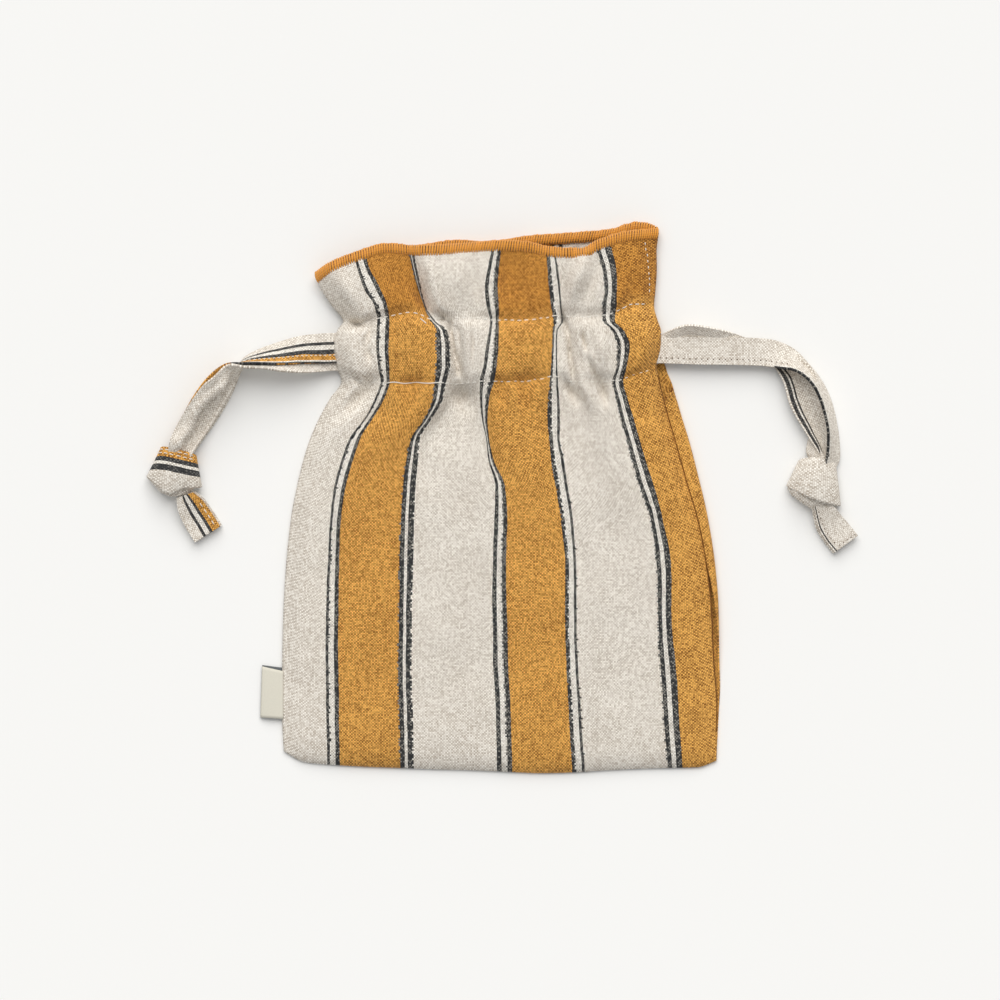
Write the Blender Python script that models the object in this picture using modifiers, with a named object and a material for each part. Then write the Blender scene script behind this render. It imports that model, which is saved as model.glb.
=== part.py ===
"""Drawstring pouch of striped linen, lying flat and empty with its mouth towards +Y.

Frame: metres, +Z up, +X across the pouch, +Y from the hem to the mouth. The origin is on the
surface that the pouch lies on, under the middle of the pouch without its ties.

Every cloth piece is a grid that a function bends into its lying shape, and then gets its
thickness. The functions read short tables whose lengths are in millimetres.
"""

import math

import bpy
import numpy as np

MM = 0.001

# Driving dimensions in millimetres
CLOTH = 1.0
GAP = 0.3
EDGING_HEIGHT = 4.2
EDGING_THICKNESS = 1.6
CURL_RADIUS = 1.6
LOOP_RADIUS = 3.0
LOOP_EASE = 0.3
LOOP_STEPS = 6
LAYER_STEP = CLOTH + GAP
STRAND_EASE = 0.15
STRAND_STEP = LAYER_STEP + STRAND_EASE
CORNER_FADE = 16.0
STITCHED_GAP = 0.6
ROLLED_LENGTH = 10.5
FLAT_SHARE = 0.65
LABEL_LAYER_SHARE = 0.44
TAIL_SLIDE = 0.8
THREAD_ROUGHNESS = 0.75
LABEL_ROUGHNESS = 0.7

# Courses, which are weft threads, are named by their height at the middle of the pouch
HEM_COURSE = -109.6
LOWER_STITCH = 46.0
UPPER_STITCH = 70.6
RIM_COURSE = 102.0

# Warp threads at the side seams and at both edges of the five stripe groups, g1 to g5: their
# place in the flat cloth, from the left seam
WARP_U = (0.0, 16.4, 22.0, 45.6, 50.8, 84.4, 90.0, 113.6, 119.6, 152.4, 158.4, 173.0)

# Where those threads lie, as x at each height y
WARP_LINES = (
    # y, left, g1a, g1b, g2a, g2b, g3a, g3b, g4a, g4b, g5a, g5b, seam
    (-108, -81.9, -65.3, -60.1, -36.3, -31.2, 2.7, 8.4, 32.5, 38.1, 70.5, 76.5, 90.6),
    (-84, -83.0, -65.7, -60.4, -36.7, -31.5, 2.1, 7.7, 31.1, 36.5, 68.7, 74.7, 91.0),
    (-64, -82.8, -65.9, -60.7, -37.1, -31.9, 1.1, 6.7, 30.1, 35.3, 67.3, 73.3, 89.6),
    (-45, -82.3, -65.7, -60.5, -36.7, -31.9, 0.9, 6.2, 29.7, 34.7, 66.7, 71.9, 88.8),
    (-28, -81.3, -65.1, -60.3, -36.7, -31.5, 1.1, 5.9, 29.7, 34.5, 66.1, 71.7, 86.9),
    (-9, -79.3, -63.9, -59.5, -35.9, -30.9, 1.7, 6.5, 27.9, 33.3, 63.7, 68.5, 83.3),
    (4, -76.9, -62.3, -57.5, -35.1, -30.3, 2.1, 5.7, 25.9, 31.3, 59.3, 64.9, 79.4),
    (15, -74.2, -59.1, -54.3, -33.7, -29.3, -0.7, 1.3, 24.1, 29.7, 56.1, 61.3, 76.3),
    (23, -71.6, -56.3, -51.7, -31.9, -28.5, -1.5, -0.3, 23.3, 28.1, 54.1, 59.1, 74.1),
    (31, -68.1, -50.5, -46.9, -26.5, -23.9, -3.1, -1.1, 22.5, 28.1, 51.9, 56.9, 71.7),
    (39, -63.7, -46.1, -42.1, -23.1, -19.3, -3.9, -0.7, 22.7, 27.9, 50.1, 54.5, 69.5),
    (46, -59.1, -43.7, -39.9, -22.4, -17.9, -3.9, 1.1, 23.6, 27.3, 48.5, 52.7, 67.8),
    (52, -61.0, -44.9, -40.1, -21.8, -16.3, -2.5, 2.3, 24.1, 27.1, 50.1, 54.1, 66.5),
    (60, -62.1, -45.7, -40.5, -21.8, -16.5, -1.5, 3.1, 24.5, 26.9, 50.5, 55.3, 68.0),
    (66, -60.9, -45.4, -40.3, -21.7, -17.7, -0.4, 3.2, 24.8, 27.1, 48.3, 53.1, 68.2),
    (70, -58.4, -45.1, -40.1, -23.9, -22.1, 0.1, 3.1, 25.1, 29.1, 44.9, 49.3, 67.0),
    (76, -62.7, -46.3, -40.9, -26.4, -25.5, -1.4, 2.9, 24.1, 28.9, 44.5, 49.9, 65.5),
    (83, -67.3, -50.7, -43.9, -28.9, -27.3, -2.1, 2.5, 23.3, 28.3, 45.5, 50.1, 66.1),
    (91, -70.7, -53.2, -48.1, -31.1, -29.2, -0.9, 3.1, 22.7, 27.3, 44.5, 49.7, 66.6),
    (98, -72.3, -55.1, -50.1, -32.7, -30.6, 0.5, 4.1, 22.1, 26.3, 42.5, 48.1, 66.5),
    (106, -73.0, -56.3, -51.5, -33.9, -31.7, 1.5, 4.7, 21.7, 25.7, 41.1, 46.9, 67.5),
)

# Stations across the flat cloth for reach and height: the seams, the natural spans n, the stripe
# groups g and the mustard spans m
STATION_U = (0.0, 8.0, 19.2, 34.0, 48.2, 59.0, 74.0, 87.2, 102.0, 116.6, 129.0, 143.0, 155.4, 165.0, 173.0)

# How far up the pouch the four sewn courses reach at each station, as y
SEWN_COURSES = (
    # course, left, n1, g1, m1, g2, n2a, n2b, g3, m2, g4, n3a, n3b, g5, m3, seam
    (HEM_COURSE, -103.0, -106.2, -107.6, -108.0, -108.4, -108.8, -109.2, -109.8,
     -110.2, -110.4, -110.0, -109.0, -108.0, -107.6, -105.0),
    (LOWER_STITCH, 49.6, 46.4, 45.2, 45.4, 45.2, 45.0, 45.4, 46.0,
     45.8, 48.0, 46.0, 45.8, 46.3, 49.1, 51.6),
    (UPPER_STITCH, 68.6, 69.0, 71.4, 73.4, 70.6, 71.0, 71.2, 70.4,
     70.2, 72.2, 71.6, 71.8, 72.6, 76.6, 77.0),
    (RIM_COURSE, 88.6, 93.6, 97.7, 100.8, 100.2, 100.0, 101.1, 102.1,
     101.8, 99.4, 98.9, 99.2, 102.6, 105.8, 107.0),
)

# Height of the front panel's middle layer above the surface, course by course
RELIEF = (
    # course, left, n1, g1, m1, g2, n2a, n2b, g3, m2, g4, n3a, n3b, g5, m3, seam
    (HEM_COURSE, 1.9, 1.9, 1.9, 1.9, 1.9, 1.9, 1.9, 1.9, 1.9, 1.9, 1.9, 1.9, 1.9, 1.9, 1.9),
    (-104, 1.9, 3.4, 4.2, 4.4, 4.5, 4.5, 4.5, 4.5, 4.5, 4.5, 4.5, 4.4, 4.2, 3.3, 1.9),
    (-94, 1.9, 5.6, 7.0, 7.6, 7.7, 7.8, 7.8, 7.8, 7.8, 7.8, 7.8, 7.6, 7.2, 5.4, 1.9),
    (-80, 1.9, 6.6, 8.0, 8.4, 8.4, 8.5, 8.6, 8.6, 8.6, 8.6, 8.6, 8.5, 8.2, 6.6, 2.1),
    (-40, 1.9, 7.0, 8.3, 8.8, 8.8, 9.0, 9.0, 8.9, 9.0, 8.9, 8.9, 8.9, 8.6, 7.2, 3.7),
    (0, 1.9, 7.1, 8.4, 9.4, 8.9, 8.8, 9.2, 8.6, 9.3, 9.0, 9.0, 9.4, 8.9, 7.6, 3.7),
    (20, 1.9, 7.4, 8.6, 10.6, 9.4, 8.4, 9.2, 8.2, 10.2, 9.4, 9.0, 10.2, 9.4, 8.2, 3.7),
    (33, 1.9, 8.2, 8.4, 11.2, 10.6, 8.2, 8.8, 8.6, 10.8, 9.2, 8.8, 10.6, 10.0, 8.6, 3.7),
    (LOWER_STITCH, 2.8, 8.4, 9.2, 9.8, 11.0, 8.8, 9.0, 10.0, 9.4, 10.4, 9.2, 9.6, 9.8, 8.6, 4.5),
    (54, 5.4, 11.6, 11.2, 12.2, 13.4, 10.0, 12.0, 12.8, 12.6, 12.0, 10.4, 12.4, 12.2, 11.0, 5.4),
    (63, 5.4, 12.0, 11.8, 12.8, 13.4, 10.2, 12.6, 12.6, 13.0, 12.0, 10.6, 12.8, 12.0, 10.8, 5.4),
    (UPPER_STITCH, 4.2, 8.4, 10.2, 9.8, 9.8, 10.4, 9.6, 11.0, 9.8, 10.6, 9.6, 9.8, 10.6, 9.0, 3.8),
    (77, 4.4, 8.8, 11.6, 9.8, 8.8, 12.2, 9.6, 11.4, 9.4, 10.8, 10.4, 11.6, 11.4, 9.4, 3.8),
    (88, 5.2, 9.6, 11.4, 9.6, 9.0, 12.4, 10.8, 10.6, 9.4, 10.4, 10.8, 12.2, 11.2, 9.6, 4.2),
    (RIM_COURSE, 6.0, 9.0, 10.6, 9.4, 9.8, 11.6, 9.6, 10.2, 11.4, 9.6, 8.8, 9.2, 11.6, 10.2, 4.8),
)

# The back panel's right edge rolls up and over to the side seam. Width is how far the roll
# stands out past the seam, and rise is how far the rolled edge is lifted.
RIGHT_ROLL = (
    # y, width, rise
    (-104, 0.0, 0.0),
    (-86, 0.6, 0.0),
    (-75, 1.4, 0.5),
    (-64, 1.9, 1.5),
    (-45, 2.4, 2.8),
    (-28, 3.0, 3.2),
    (-9, 3.7, 3.2),
    (4, 4.7, 3.2),
    (20, 5.1, 3.2),
    (38, 4.9, 3.2),
    (43, 4.7, 2.0),
    (47, 4.4, 0.4),
    (49, 4.2, 0.0),
    (52, 3.8, 0.0),
    (55, 2.0, 0.0),
    (60, 0.0, 0.0),
    (106, 0.0, 0.0),
)

# Reach of the back panel at its hem and at its mouth, at fractions of its width. The last third
# of the fractions is the rolled edge.
BACK_REACH = (
    # fraction, hem, rim
    (0.0, -103.0, 88.6),
    (0.15, -107.8, 97.9),
    (0.25, -108.3, 101.3),
    (0.3, -108.5, 102.6),
    (0.36, -108.9, 102.0),
    (0.45, -109.4, 104.4),
    (0.52, -109.9, 105.4),
    (0.6, -110.2, 106.8),
    (0.66, -110.1, 109.7),
    (0.72, -110.0, 109.8),
    (0.85, -108.8, 109.4),
    (1.0, -105.0, 107.3),
)

# How far the back panel's side edges stand off the surface
BACK_LIFT = (
    # y, left, right
    (HEM_COURSE, 0.0, 0.0),
    (66, 0.0, 0.0),
    (70, 0.7, 0.5),
    (76, 2.0, 1.0),
    (82, 2.8, 1.3),
    (89, 3.3, 1.6),
    (110, 3.3, 1.9),
)

# Side label, sewn in at the left seam: its outer and inner edges at its upper and lower end
LABEL_UPPER = {"outer": -91.6, "inner": -83.5, "outer_y": -67.4, "inner_y": -68.5}
LABEL_LOWER = {"outer": -92.3, "inner": -83.5, "outer_y": -88.4, "inner_y": -89.0}

# Route of the left drawstring in the neck: front run from the left slit, then the turn
LEFT_FRONT_RUN = (
    # x, y, z, width
    (-59.7, 59.5, 3.2, 11.5),
    (-54, 60.4, 5.6, 9.0),
    (-48, 61.9, 7.6, 7.0),
    (-42, 62.9, 8.0, 7.0),
    (0, 63.0, 8.0, 7.0),
    (37, 63.0, 8.0, 7.0),
)
LEFT_BACK_RUN = (
    # x, y, z, width
    (37, 63.0, 2.0, 7.0),
    (0, 63.0, 2.0, 7.0),
    (-42, 62.6, 2.0, 7.0),
    (-48, 61.2, 2.0, 7.0),
    (-54, 58.6, 1.9, 9.0),
    (-59.7, 56.5, 1.8, 11.5),
)
RIGHT_FRONT_RUN = (
    # x, y, z, width
    (65.4, 58.4, 3.2, 11.0),
    (60, 57.4, 5.6, 9.0),
    (53, 55.3, 7.6, 7.0),
    (46, 54.1, 8.0, 7.0),
    (0, 54.0, 8.0, 7.0),
    (-37, 54.0, 8.0, 7.0),
)
RIGHT_BACK_RUN = (
    # x, y, z, width
    (-37, 54.0, 2.0, 7.0),
    (0, 54.0, 2.0, 7.0),
    (46, 54.1, 2.0, 7.0),
    (53, 55.3, 2.0, 7.0),
    (60, 56.8, 1.9, 9.0),
    (65.4, 57.6, 1.8, 11.0),
)

# Free strands. Clearance is the height of the strand's lowest edge, turn is the heading of its
# width on the surface, bank is the tilt of that width, both in degrees.
LEFT_TIE = (
    # x, y, clearance, turn, bank, width, slide of the lower strand
    (-60.0, 59.4, 1.4, 90, 0, 12.0, -3.0),
    (-65.5, 59.1, 1.3, 91, -5, 12.0, -3.2),
    (-75.0, 58.2, 0.4, 97, -28, 12.0, -3.0),
    (-84.3, 56.4, 0.2, 103, -48, 12.0, -1.6),
    (-91.9, 54.9, 0.2, 110, -62, 12.0, -0.6),
    (-98.4, 52.9, 0.3, 120, -84, 12.0, 0.0),
    (-103.4, 48.8, 0.3, 131, -128, 12.0, 0.0),
    (-108.6, 42.4, 0.3, 140, -160, 12.0, 0.0),
    (-113.6, 35.0, 0.2, 148, -176, 12.0, 0.0),
    (-118.4, 27.2, 0.8, 156, -184, 11.6, 0.0),
    (-122.6, 19.6, 2.4, 165, -184, 10.0, 0.0),
    (-124.4, 13.6, 3.4, 168, -184, 8.0, 0.0),
)
RIGHT_UPPER_TIE = (
    # x, y, clearance, turn, bank, width
    (65.7, 58.8, 2.7, 90, 0, 11.0),
    (72.0, 58.6, 2.7, 90, 0, 11.0),
    (84.1, 58.0, 2.0, 90, 0, 11.0),
    (100.1, 57.4, 1.6, 89, -2, 11.0),
    (111.0, 56.8, 1.6, 86, -8, 11.0),
    (119.0, 55.2, 1.0, 70, -36, 11.0),
    (124.6, 51.8, 0.5, 52, -60, 11.0),
    (129.9, 46.4, 0.2, 36, -68, 11.0),
    (133.5, 39.8, 0.2, 22, -68, 11.0),
    (135.6, 33.0, 0.2, 12, -68, 11.0),
    (136.8, 26.8, 0.2, 5, -68, 11.0),
    (137.2, 20.8, 0.4, -3, -62, 10.0),
    (136.8, 14.6, 1.2, -8, -50, 8.0),
    (134.4, 9.0, 2.4, -10, -40, 5.0),
)
RIGHT_LOWER_TIE = (
    # x, y, clearance, turn, bank, width
    (65.7, 57.6, 1.3, 90, 0, 11.0),
    (72.0, 59.6, 1.3, 89, 0, 11.0),
    (78.5, 61.6, 0.8, 86, 3, 11.0),
    (85.3, 62.2, 0.2, 84, 3, 11.0),
    (94.1, 60.2, 0.1, 80, 2, 11.0),
    (104.1, 57.2, 0.1, 76, 0, 10.6),
    (112.3, 52.4, 0.1, 66, 0, 10.0),
    (118.6, 46.2, 0.1, 48, 0, 9.6),
    (123.2, 38.9, 0.1, 34, 0, 9.4),
    (127.0, 31.4, 0.1, 28, 0, 8.8),
    (130.2, 24.0, 0.2, 26, 0, 7.6),
    (132.2, 17.4, 1.2, 24, 0, 5.6),
    (132.2, 12.0, 2.0, 24, 0, 4.0),
)
LEFT_TAIL = (
    # x, y, clearance, turn, bank, width
    (-121.8, 0.6, 3.0, 20, 0, 7.0),
    (-119.9, -3.0, 2.0, 22, 0, 10.4),
    (-118.0, -6.6, 0.8, 25, 0, 11.6),
    (-115.6, -10.6, 0.1, 29, 0, 12.0),
    (-112.7, -15.2, 0.1, 33, 0, 12.0),
)
RIGHT_TAIL = (
    # x, y, clearance, turn, bank, width
    (132.2, -2.0, 3.0, 16, 0, 6.0),
    (134.0, -6.0, 2.2, 20, 0, 8.6),
    (136.0, -10.2, 0.8, 28, 0, 10.6),
    (138.8, -14.2, 0.1, 32, 0, 11.4),
    (142.6, -19.0, 0.1, 36, 0, 11.4),
)

# Knots: centre, height, the heading of the wrap that crosses them, and their outline
LEFT_KNOT = {"x": -126.3, "y": 9.0, "height": 10.5, "wrap": -12.0, "wrap_half": 5.6}
LEFT_KNOT_OUTLINE = (
    # heading, radius
    (-180, 10.8), (-133, 8.2), (-86, 10.4), (-51, 10.2), (-27, 12.2), (10, 9.7),
    (45, 11.2), (81, 9.4), (114, 11.2), (150, 11.1), (180, 10.8),
)
RIGHT_KNOT = {"x": 130.1, "y": 5.0, "height": 10.0, "wrap": -25.0, "wrap_half": 5.2}
RIGHT_KNOT_OUTLINE = (
    # heading, radius
    (-180, 10.0), (-165, 10.8), (-128, 9.7), (-96, 10.4), (-66, 9.7), (-40, 11.9),
    (6, 8.2), (49, 10.0), (78, 9.0), (109, 10.6), (142, 9.1), (180, 10.0),
)

# A knot's form: its outline at each level, its dome, the share of its height below its widest
# level, and how far it is lower beside its wrap, over a soft edge
KNOT_LEVEL_POWER = 0.62
KNOT_DOME_POWER = 0.8
KNOT_WAIST = 0.44
KNOT_WRAP_DROP = 0.3
KNOT_WRAP_EDGE = 0.5

# How finely the pieces are divided
CLOTH_STEP = 5.4
COURSE_BANDS = (
    # lowest course, highest course, steps
    (HEM_COURSE, -92.0, 4),
    (-92.0, 20.0, 9),
    (20.0, UPPER_STITCH, 15),
)
FRILL_STEPS = 8
BACK_COURSE_SKIP = 2
BACK_FLAT_STEPS = 12
BACK_ROLL_STEPS = 13
LABEL_LAYER_STEPS = 2
LABEL_FOLD_STEPS = 5
LOOP_STOPS = 33
TIE_STOPS = 26
SHORT_TIE_STOPS = 24
TAIL_STOPS = 7
KNOT_SEGMENTS = 32
KNOT_RINGS = 16

# Colours
MUSTARD = (0.60, 0.26, 0.035, 1.0)
NATURAL = (0.68, 0.62, 0.55, 1.0)
MUSTARD_THREAD = (0.68, 0.29, 0.03, 1.0)
CREAM = (0.66, 0.62, 0.49, 1.0)

COLLECTION_NAME = "drawstring_pouch"


def monotone(knots, values, where):
    """Smooth curve through the values at the knots that never overshoots them.

    values holds one column for all places, or one column for each place.
    """
    knots = np.asarray(knots, dtype=float)
    values = np.asarray(values, dtype=float).reshape(len(knots), -1)
    where = np.clip(where, knots[0], knots[-1])
    steps = np.diff(knots)[:, None]
    slopes = np.diff(values, axis=0) / steps
    before = slopes[:-1]
    after = slopes[1:]
    same = before * after > 0
    total = np.where(same, before + after, 1.0)
    inner = np.where(same, 2.0 * before * after / total, 0.0)
    tangents = np.vstack((slopes[:1], inner, slopes[-1:]))
    index = np.clip(np.searchsorted(knots, where, side="right") - 1, 0, len(knots) - 2)
    column = np.arange(len(where)) if values.shape[1] > 1 else 0
    width = knots[index + 1] - knots[index]
    t = (where - knots[index]) / width
    low = (2 * t**3 - 3 * t**2 + 1) * values[index, column]
    high = (3 * t**2 - 2 * t**3) * values[index + 1, column]
    leave = (t**3 - 2 * t**2 + t) * width * tangents[index, column]
    arrive = (t**3 - t**2) * width * tangents[index + 1, column]
    return low + high + leave + arrive


def table_lines(table, where):
    """Value of every column of a table, after its first, at each place in its first column."""
    rows = np.asarray(table, dtype=float)
    return np.stack([monotone(rows[:, 0], rows[:, k], where) for k in range(1, rows.shape[1])])


def flowing(values, where):
    """Smooth curve through equally spaced rows of values, for routes."""
    values = np.asarray(values, dtype=float)
    last = len(values) - 1
    place = np.clip(where, 0.0, 1.0) * last
    index = np.clip(np.floor(place).astype(int), 0, last - 1)
    t = (place - index)[:, None]
    here = values[index]
    there = values[index + 1]
    leave = 0.5 * (there - values[np.clip(index - 1, 0, last)])
    arrive = 0.5 * (values[np.clip(index + 2, 0, last)] - here)
    return (
        (2 * t**3 - 3 * t**2 + 1) * here
        + (3 * t**2 - 2 * t**3) * there
        + (t**3 - 2 * t**2 + t) * leave
        + (t**3 - t**2) * arrive
    )


def front_point(u, course):
    """Where a thread crossing of the front cloth lies."""
    reach = table_lines(SEWN_COURSES, course)
    y = monotone(STATION_U, reach, u)
    x = monotone(WARP_U, table_lines(WARP_LINES, y), u)
    z = monotone(STATION_U, table_lines(RELIEF, course), u)
    return np.stack((x, y, z), axis=1)


def back_point(fraction, course):
    """Where the back cloth lies: flat on the surface, with its right edge rolled over."""
    hem_y, rim_y = table_lines(BACK_REACH, fraction)
    y = hem_y + (rim_y - hem_y) * (course - HEM_COURSE) / (RIM_COURSE - HEM_COURSE)
    lines = table_lines(WARP_LINES, y)
    left = lines[0]
    seam = lines[-1]
    width, rise = table_lines(RIGHT_ROLL, y)
    turned = np.arccos(np.clip(1.0 - rise / CURL_RADIUS, -1.0, 1.0))
    reach = np.where(turned < math.pi / 2, CURL_RADIUS * np.sin(turned), CURL_RADIUS)
    arc = CURL_RADIUS * turned
    tongue = np.maximum(width - reach - STITCHED_GAP, 0.0) * np.maximum(-np.cos(turned), 0.0)
    flat = seam + width - reach - left
    length = flat + arc + tongue
    before = (length - ROLLED_LENGTH) * np.clip(fraction / FLAT_SHARE, 0.0, 1.0)
    rolled_share = np.clip((fraction - FLAT_SHARE) / (1 - FLAT_SHARE), 0.0, 1.0)
    along = before + ROLLED_LENGTH * rolled_share
    angle = np.clip(along - flat, 0.0, arc) / CURL_RADIUS
    past = np.maximum(along - flat - arc, 0.0)
    x = left + np.minimum(along, flat) + CURL_RADIUS * np.sin(angle) + past * np.cos(turned)
    lift_left, lift_right = table_lines(BACK_LIFT, y)
    from_left = np.clip(1.0 - (x - left) / CORNER_FADE, 0.0, 1.0)
    from_right = np.clip(1.0 - (seam + width - x) / CORNER_FADE, 0.0, 1.0)
    lift = lift_left * from_left**2 + lift_right * from_right**2
    z = CLOTH / 2 + CURL_RADIUS * (1 - np.cos(angle)) + past * np.sin(turned) + lift
    return np.stack((x, y, z), axis=1)


def label_point(around, along):
    """Folded label: upper layer out from the seam, round its fold, lower layer back in."""
    radius = LAYER_STEP / 2
    layer = LABEL_LAYER_SHARE
    outer = LABEL_LOWER["outer"] + (LABEL_UPPER["outer"] - LABEL_LOWER["outer"]) * along
    inner = LABEL_LOWER["inner"] + (LABEL_UPPER["inner"] - LABEL_LOWER["inner"]) * along
    outer_y = LABEL_LOWER["outer_y"] + (LABEL_UPPER["outer_y"] - LABEL_LOWER["outer_y"]) * along
    inner_y = LABEL_LOWER["inner_y"] + (LABEL_UPPER["inner_y"] - LABEL_LOWER["inner_y"]) * along
    fold = outer + radius + CLOTH / 2
    out_share = np.clip(around / layer, 0.0, 1.0)
    in_share = np.clip((around - (1 - layer)) / layer, 0.0, 1.0)
    turn = np.clip((around - layer) / (1 - 2 * layer), 0.0, 1.0) * math.pi
    from_seam = np.where(around < 0.5, out_share, 1 - in_share)
    x = inner + (fold - inner) * from_seam - radius * np.sin(turn)
    y = inner_y + (outer_y - inner_y) * from_seam
    z = CLOTH / 2 + radius + radius * np.cos(turn)
    return np.stack((x, y, z), axis=1)


def new_collection(name):
    """Collection in the scene."""
    collection = bpy.data.collections.new(name)
    bpy.context.scene.collection.children.link(collection)
    return collection


def cloth_material(name, colour, roughness=0.9):
    """Plain matt cloth in one colour."""
    material = bpy.data.materials.new(name)
    material.use_nodes = True
    shader = material.node_tree.nodes["Principled BSDF"]
    shader.inputs["Base Color"].default_value = colour
    shader.inputs["Roughness"].default_value = roughness
    shader.inputs["Metallic"].default_value = 0.0
    return material


def adopt(piece, name, material, collection):
    """Name a new object, give it its material and move it into the collection."""
    piece.name = name
    piece.data.name = name
    piece.data.materials.append(material)
    for other in list(piece.users_collection):
        other.objects.unlink(piece)
    collection.objects.link(piece)
    return piece


def stops_at(stops, share):
    """Uneven grid stops, read at an even share from 0 to 1."""
    return np.interp(share, np.linspace(0.0, 1.0, len(stops)), stops)


def sheet(name, across_stops, along_stops, place, thickness, material, collection):
    """Grid bent by a function of its two stops and thickened about its middle layer."""
    bpy.ops.mesh.primitive_grid_add(
        x_subdivisions=len(across_stops) - 1, y_subdivisions=len(along_stops) - 1, size=1.0
    )
    piece = adopt(bpy.context.object, name, material, collection)
    mesh = piece.data
    flat = np.empty(len(mesh.vertices) * 3)
    mesh.vertices.foreach_get("co", flat)
    flat = flat.reshape(-1, 3) + 0.5
    across = stops_at(across_stops, flat[:, 0])
    along = stops_at(along_stops, flat[:, 1])
    mesh.vertices.foreach_set("co", (place(across, along) * MM).ravel())
    mesh.update()
    mesh.shade_smooth()
    shell = piece.modifiers.new("thickness", "SOLIDIFY")
    shell.thickness = thickness * MM
    shell.offset = 0.0
    shell.use_even_offset = True
    shell.use_quality_normals = True
    return piece


def cloth_stops():
    """Stops across the front cloth: the stripe edges, and more between them."""
    stops = [WARP_U[0]]
    for here, there in zip(WARP_U, WARP_U[1:]):
        parts = max(1, round((there - here) / CLOTH_STEP))
        stops.extend(here + (there - here) * (k + 1) / parts for k in range(parts))
    return stops


def course_stops(top):
    """Stops up the cloth: wide steps on the belly, close ones at the hem and in the neck."""
    stops = [HEM_COURSE]
    for low, high, steps in (*COURSE_BANDS, (UPPER_STITCH, top, FRILL_STEPS)):
        stops.extend(low + (high - low) * (k + 1) / steps for k in range(steps))
    return stops


def tape_frame(rows, s):
    """Centre, width direction and upward normal of a tape at places s along its rows.

    The rows hold x, y, z, turn, bank and width.
    """
    values = flowing(rows, s)
    step = 0.5 / len(s)
    ahead = flowing(rows, s + step)[:, :3] - flowing(rows, s - step)[:, :3]
    turn = np.radians(values[:, 3])
    bank = np.radians(values[:, 4])
    across = np.stack((np.cos(turn) * np.cos(bank), np.sin(turn) * np.cos(bank), np.sin(bank)), axis=1)
    normal = np.cross(across, ahead)
    normal /= np.linalg.norm(normal, axis=1)[:, None]
    return values[:, :3], across, normal, values[:, 5]


def resting_rows(table, half_stack):
    """Rows of x, y, z, turn, bank and width of a strand whose lowest edge has the stated clearance."""
    rows = []
    for x, y, clearance, turn, bank, width in table:
        tilt = math.radians(bank)
        z = clearance + 0.5 * width * abs(math.sin(tilt)) + half_stack * abs(math.cos(tilt))
        rows.append((x, y, z, turn, bank, width))
    return rows


def tape(name, rows, count, layer, slide, up, material, collection):
    """Tape along its rows. layer is its offset along the normal and slide its shift sideways."""
    def place(across_share, s):
        centre, across, normal, width = tape_frame(rows, s)
        shift = np.interp(s, np.linspace(0, 1, len(slide)), slide)
        sideways = (across_share - 0.5) * width + shift
        return centre + across * sideways[:, None] + normal * (layer * up)

    return sheet(name, (0.0, 0.5, 1.0), np.linspace(0, 1, count), place, CLOTH, material, collection)


def neck_loop(front_run, back_run, turn_sign):
    """Rows of a drawstring in the neck: front run, half turn in height, back run."""
    rows = [(x, y, z, 90.0, 0.0, width) for x, y, z, width in front_run]
    x, y, z, width = front_run[-1]
    for step in range(1, LOOP_STEPS):
        angle = math.pi * step / LOOP_STEPS
        rows.append((
            x + turn_sign * LOOP_RADIUS * (math.sin(angle) + LOOP_EASE),
            y,
            z - LOOP_RADIUS * (1 - math.cos(angle)),
            90.0,
            0.0,
            width,
        ))
    rows.extend((x, y, z, 90.0, 0.0, width) for x, y, z, width in back_run)
    return rows


def knot(name, size, outline, material, collection, grow=0.0):
    """Flat-bottomed knot with a raised wrap across it, from a sphere. grow swells it all round."""
    bpy.ops.mesh.primitive_uv_sphere_add(segments=KNOT_SEGMENTS, ring_count=KNOT_RINGS, radius=1.0)
    piece = adopt(bpy.context.object, name, material, collection)
    mesh = piece.data
    unit = np.empty(len(mesh.vertices) * 3)
    mesh.vertices.foreach_get("co", unit)
    unit = unit.reshape(-1, 3)
    heading = np.degrees(np.arctan2(unit[:, 1], unit[:, 0]))
    table = np.asarray(outline, dtype=float)
    radius = monotone(table[:, 0], table[:, 1], heading) + grow
    level = np.hypot(unit[:, 0], unit[:, 1]) ** KNOT_LEVEL_POWER
    x = radius * level * np.cos(np.radians(heading))
    y = radius * level * np.sin(np.radians(heading))
    wrap = math.radians(size["wrap"])
    off_wrap = np.abs(y * math.cos(wrap) - x * math.sin(wrap))
    beside = 1.0 / (1.0 + np.exp((size["wrap_half"] - off_wrap) / KNOT_WRAP_EDGE))
    dome = np.sign(unit[:, 2]) * np.abs(unit[:, 2]) ** KNOT_DOME_POWER
    z = size["height"] * (KNOT_WAIST + (1 - KNOT_WAIST) * dome * (1 - KNOT_WRAP_DROP * beside))
    z = np.maximum(z, 0.0) + grow * np.sign(unit[:, 2])
    places = np.stack((size["x"] + x, size["y"] + y, z), axis=1)
    mesh.vertices.foreach_set("co", (places * MM).ravel())
    mesh.update()
    mesh.shade_smooth()
    return piece


def knot_cutter(name, size, outline, material, collection):
    """Knot swollen by the gap, which trims the tapes that run into it."""
    cutter = knot(name, size, outline, material, collection, grow=GAP)
    cutter.hide_render = True
    cutter.display_type = "WIRE"
    return cutter


def trim(piece, cutter):
    """Cut a tape off where it meets its knot."""
    cut = piece.modifiers.new("knot", "BOOLEAN")
    cut.operation = "DIFFERENCE"
    cut.solver = "EXACT"
    cut.object = cutter


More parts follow.
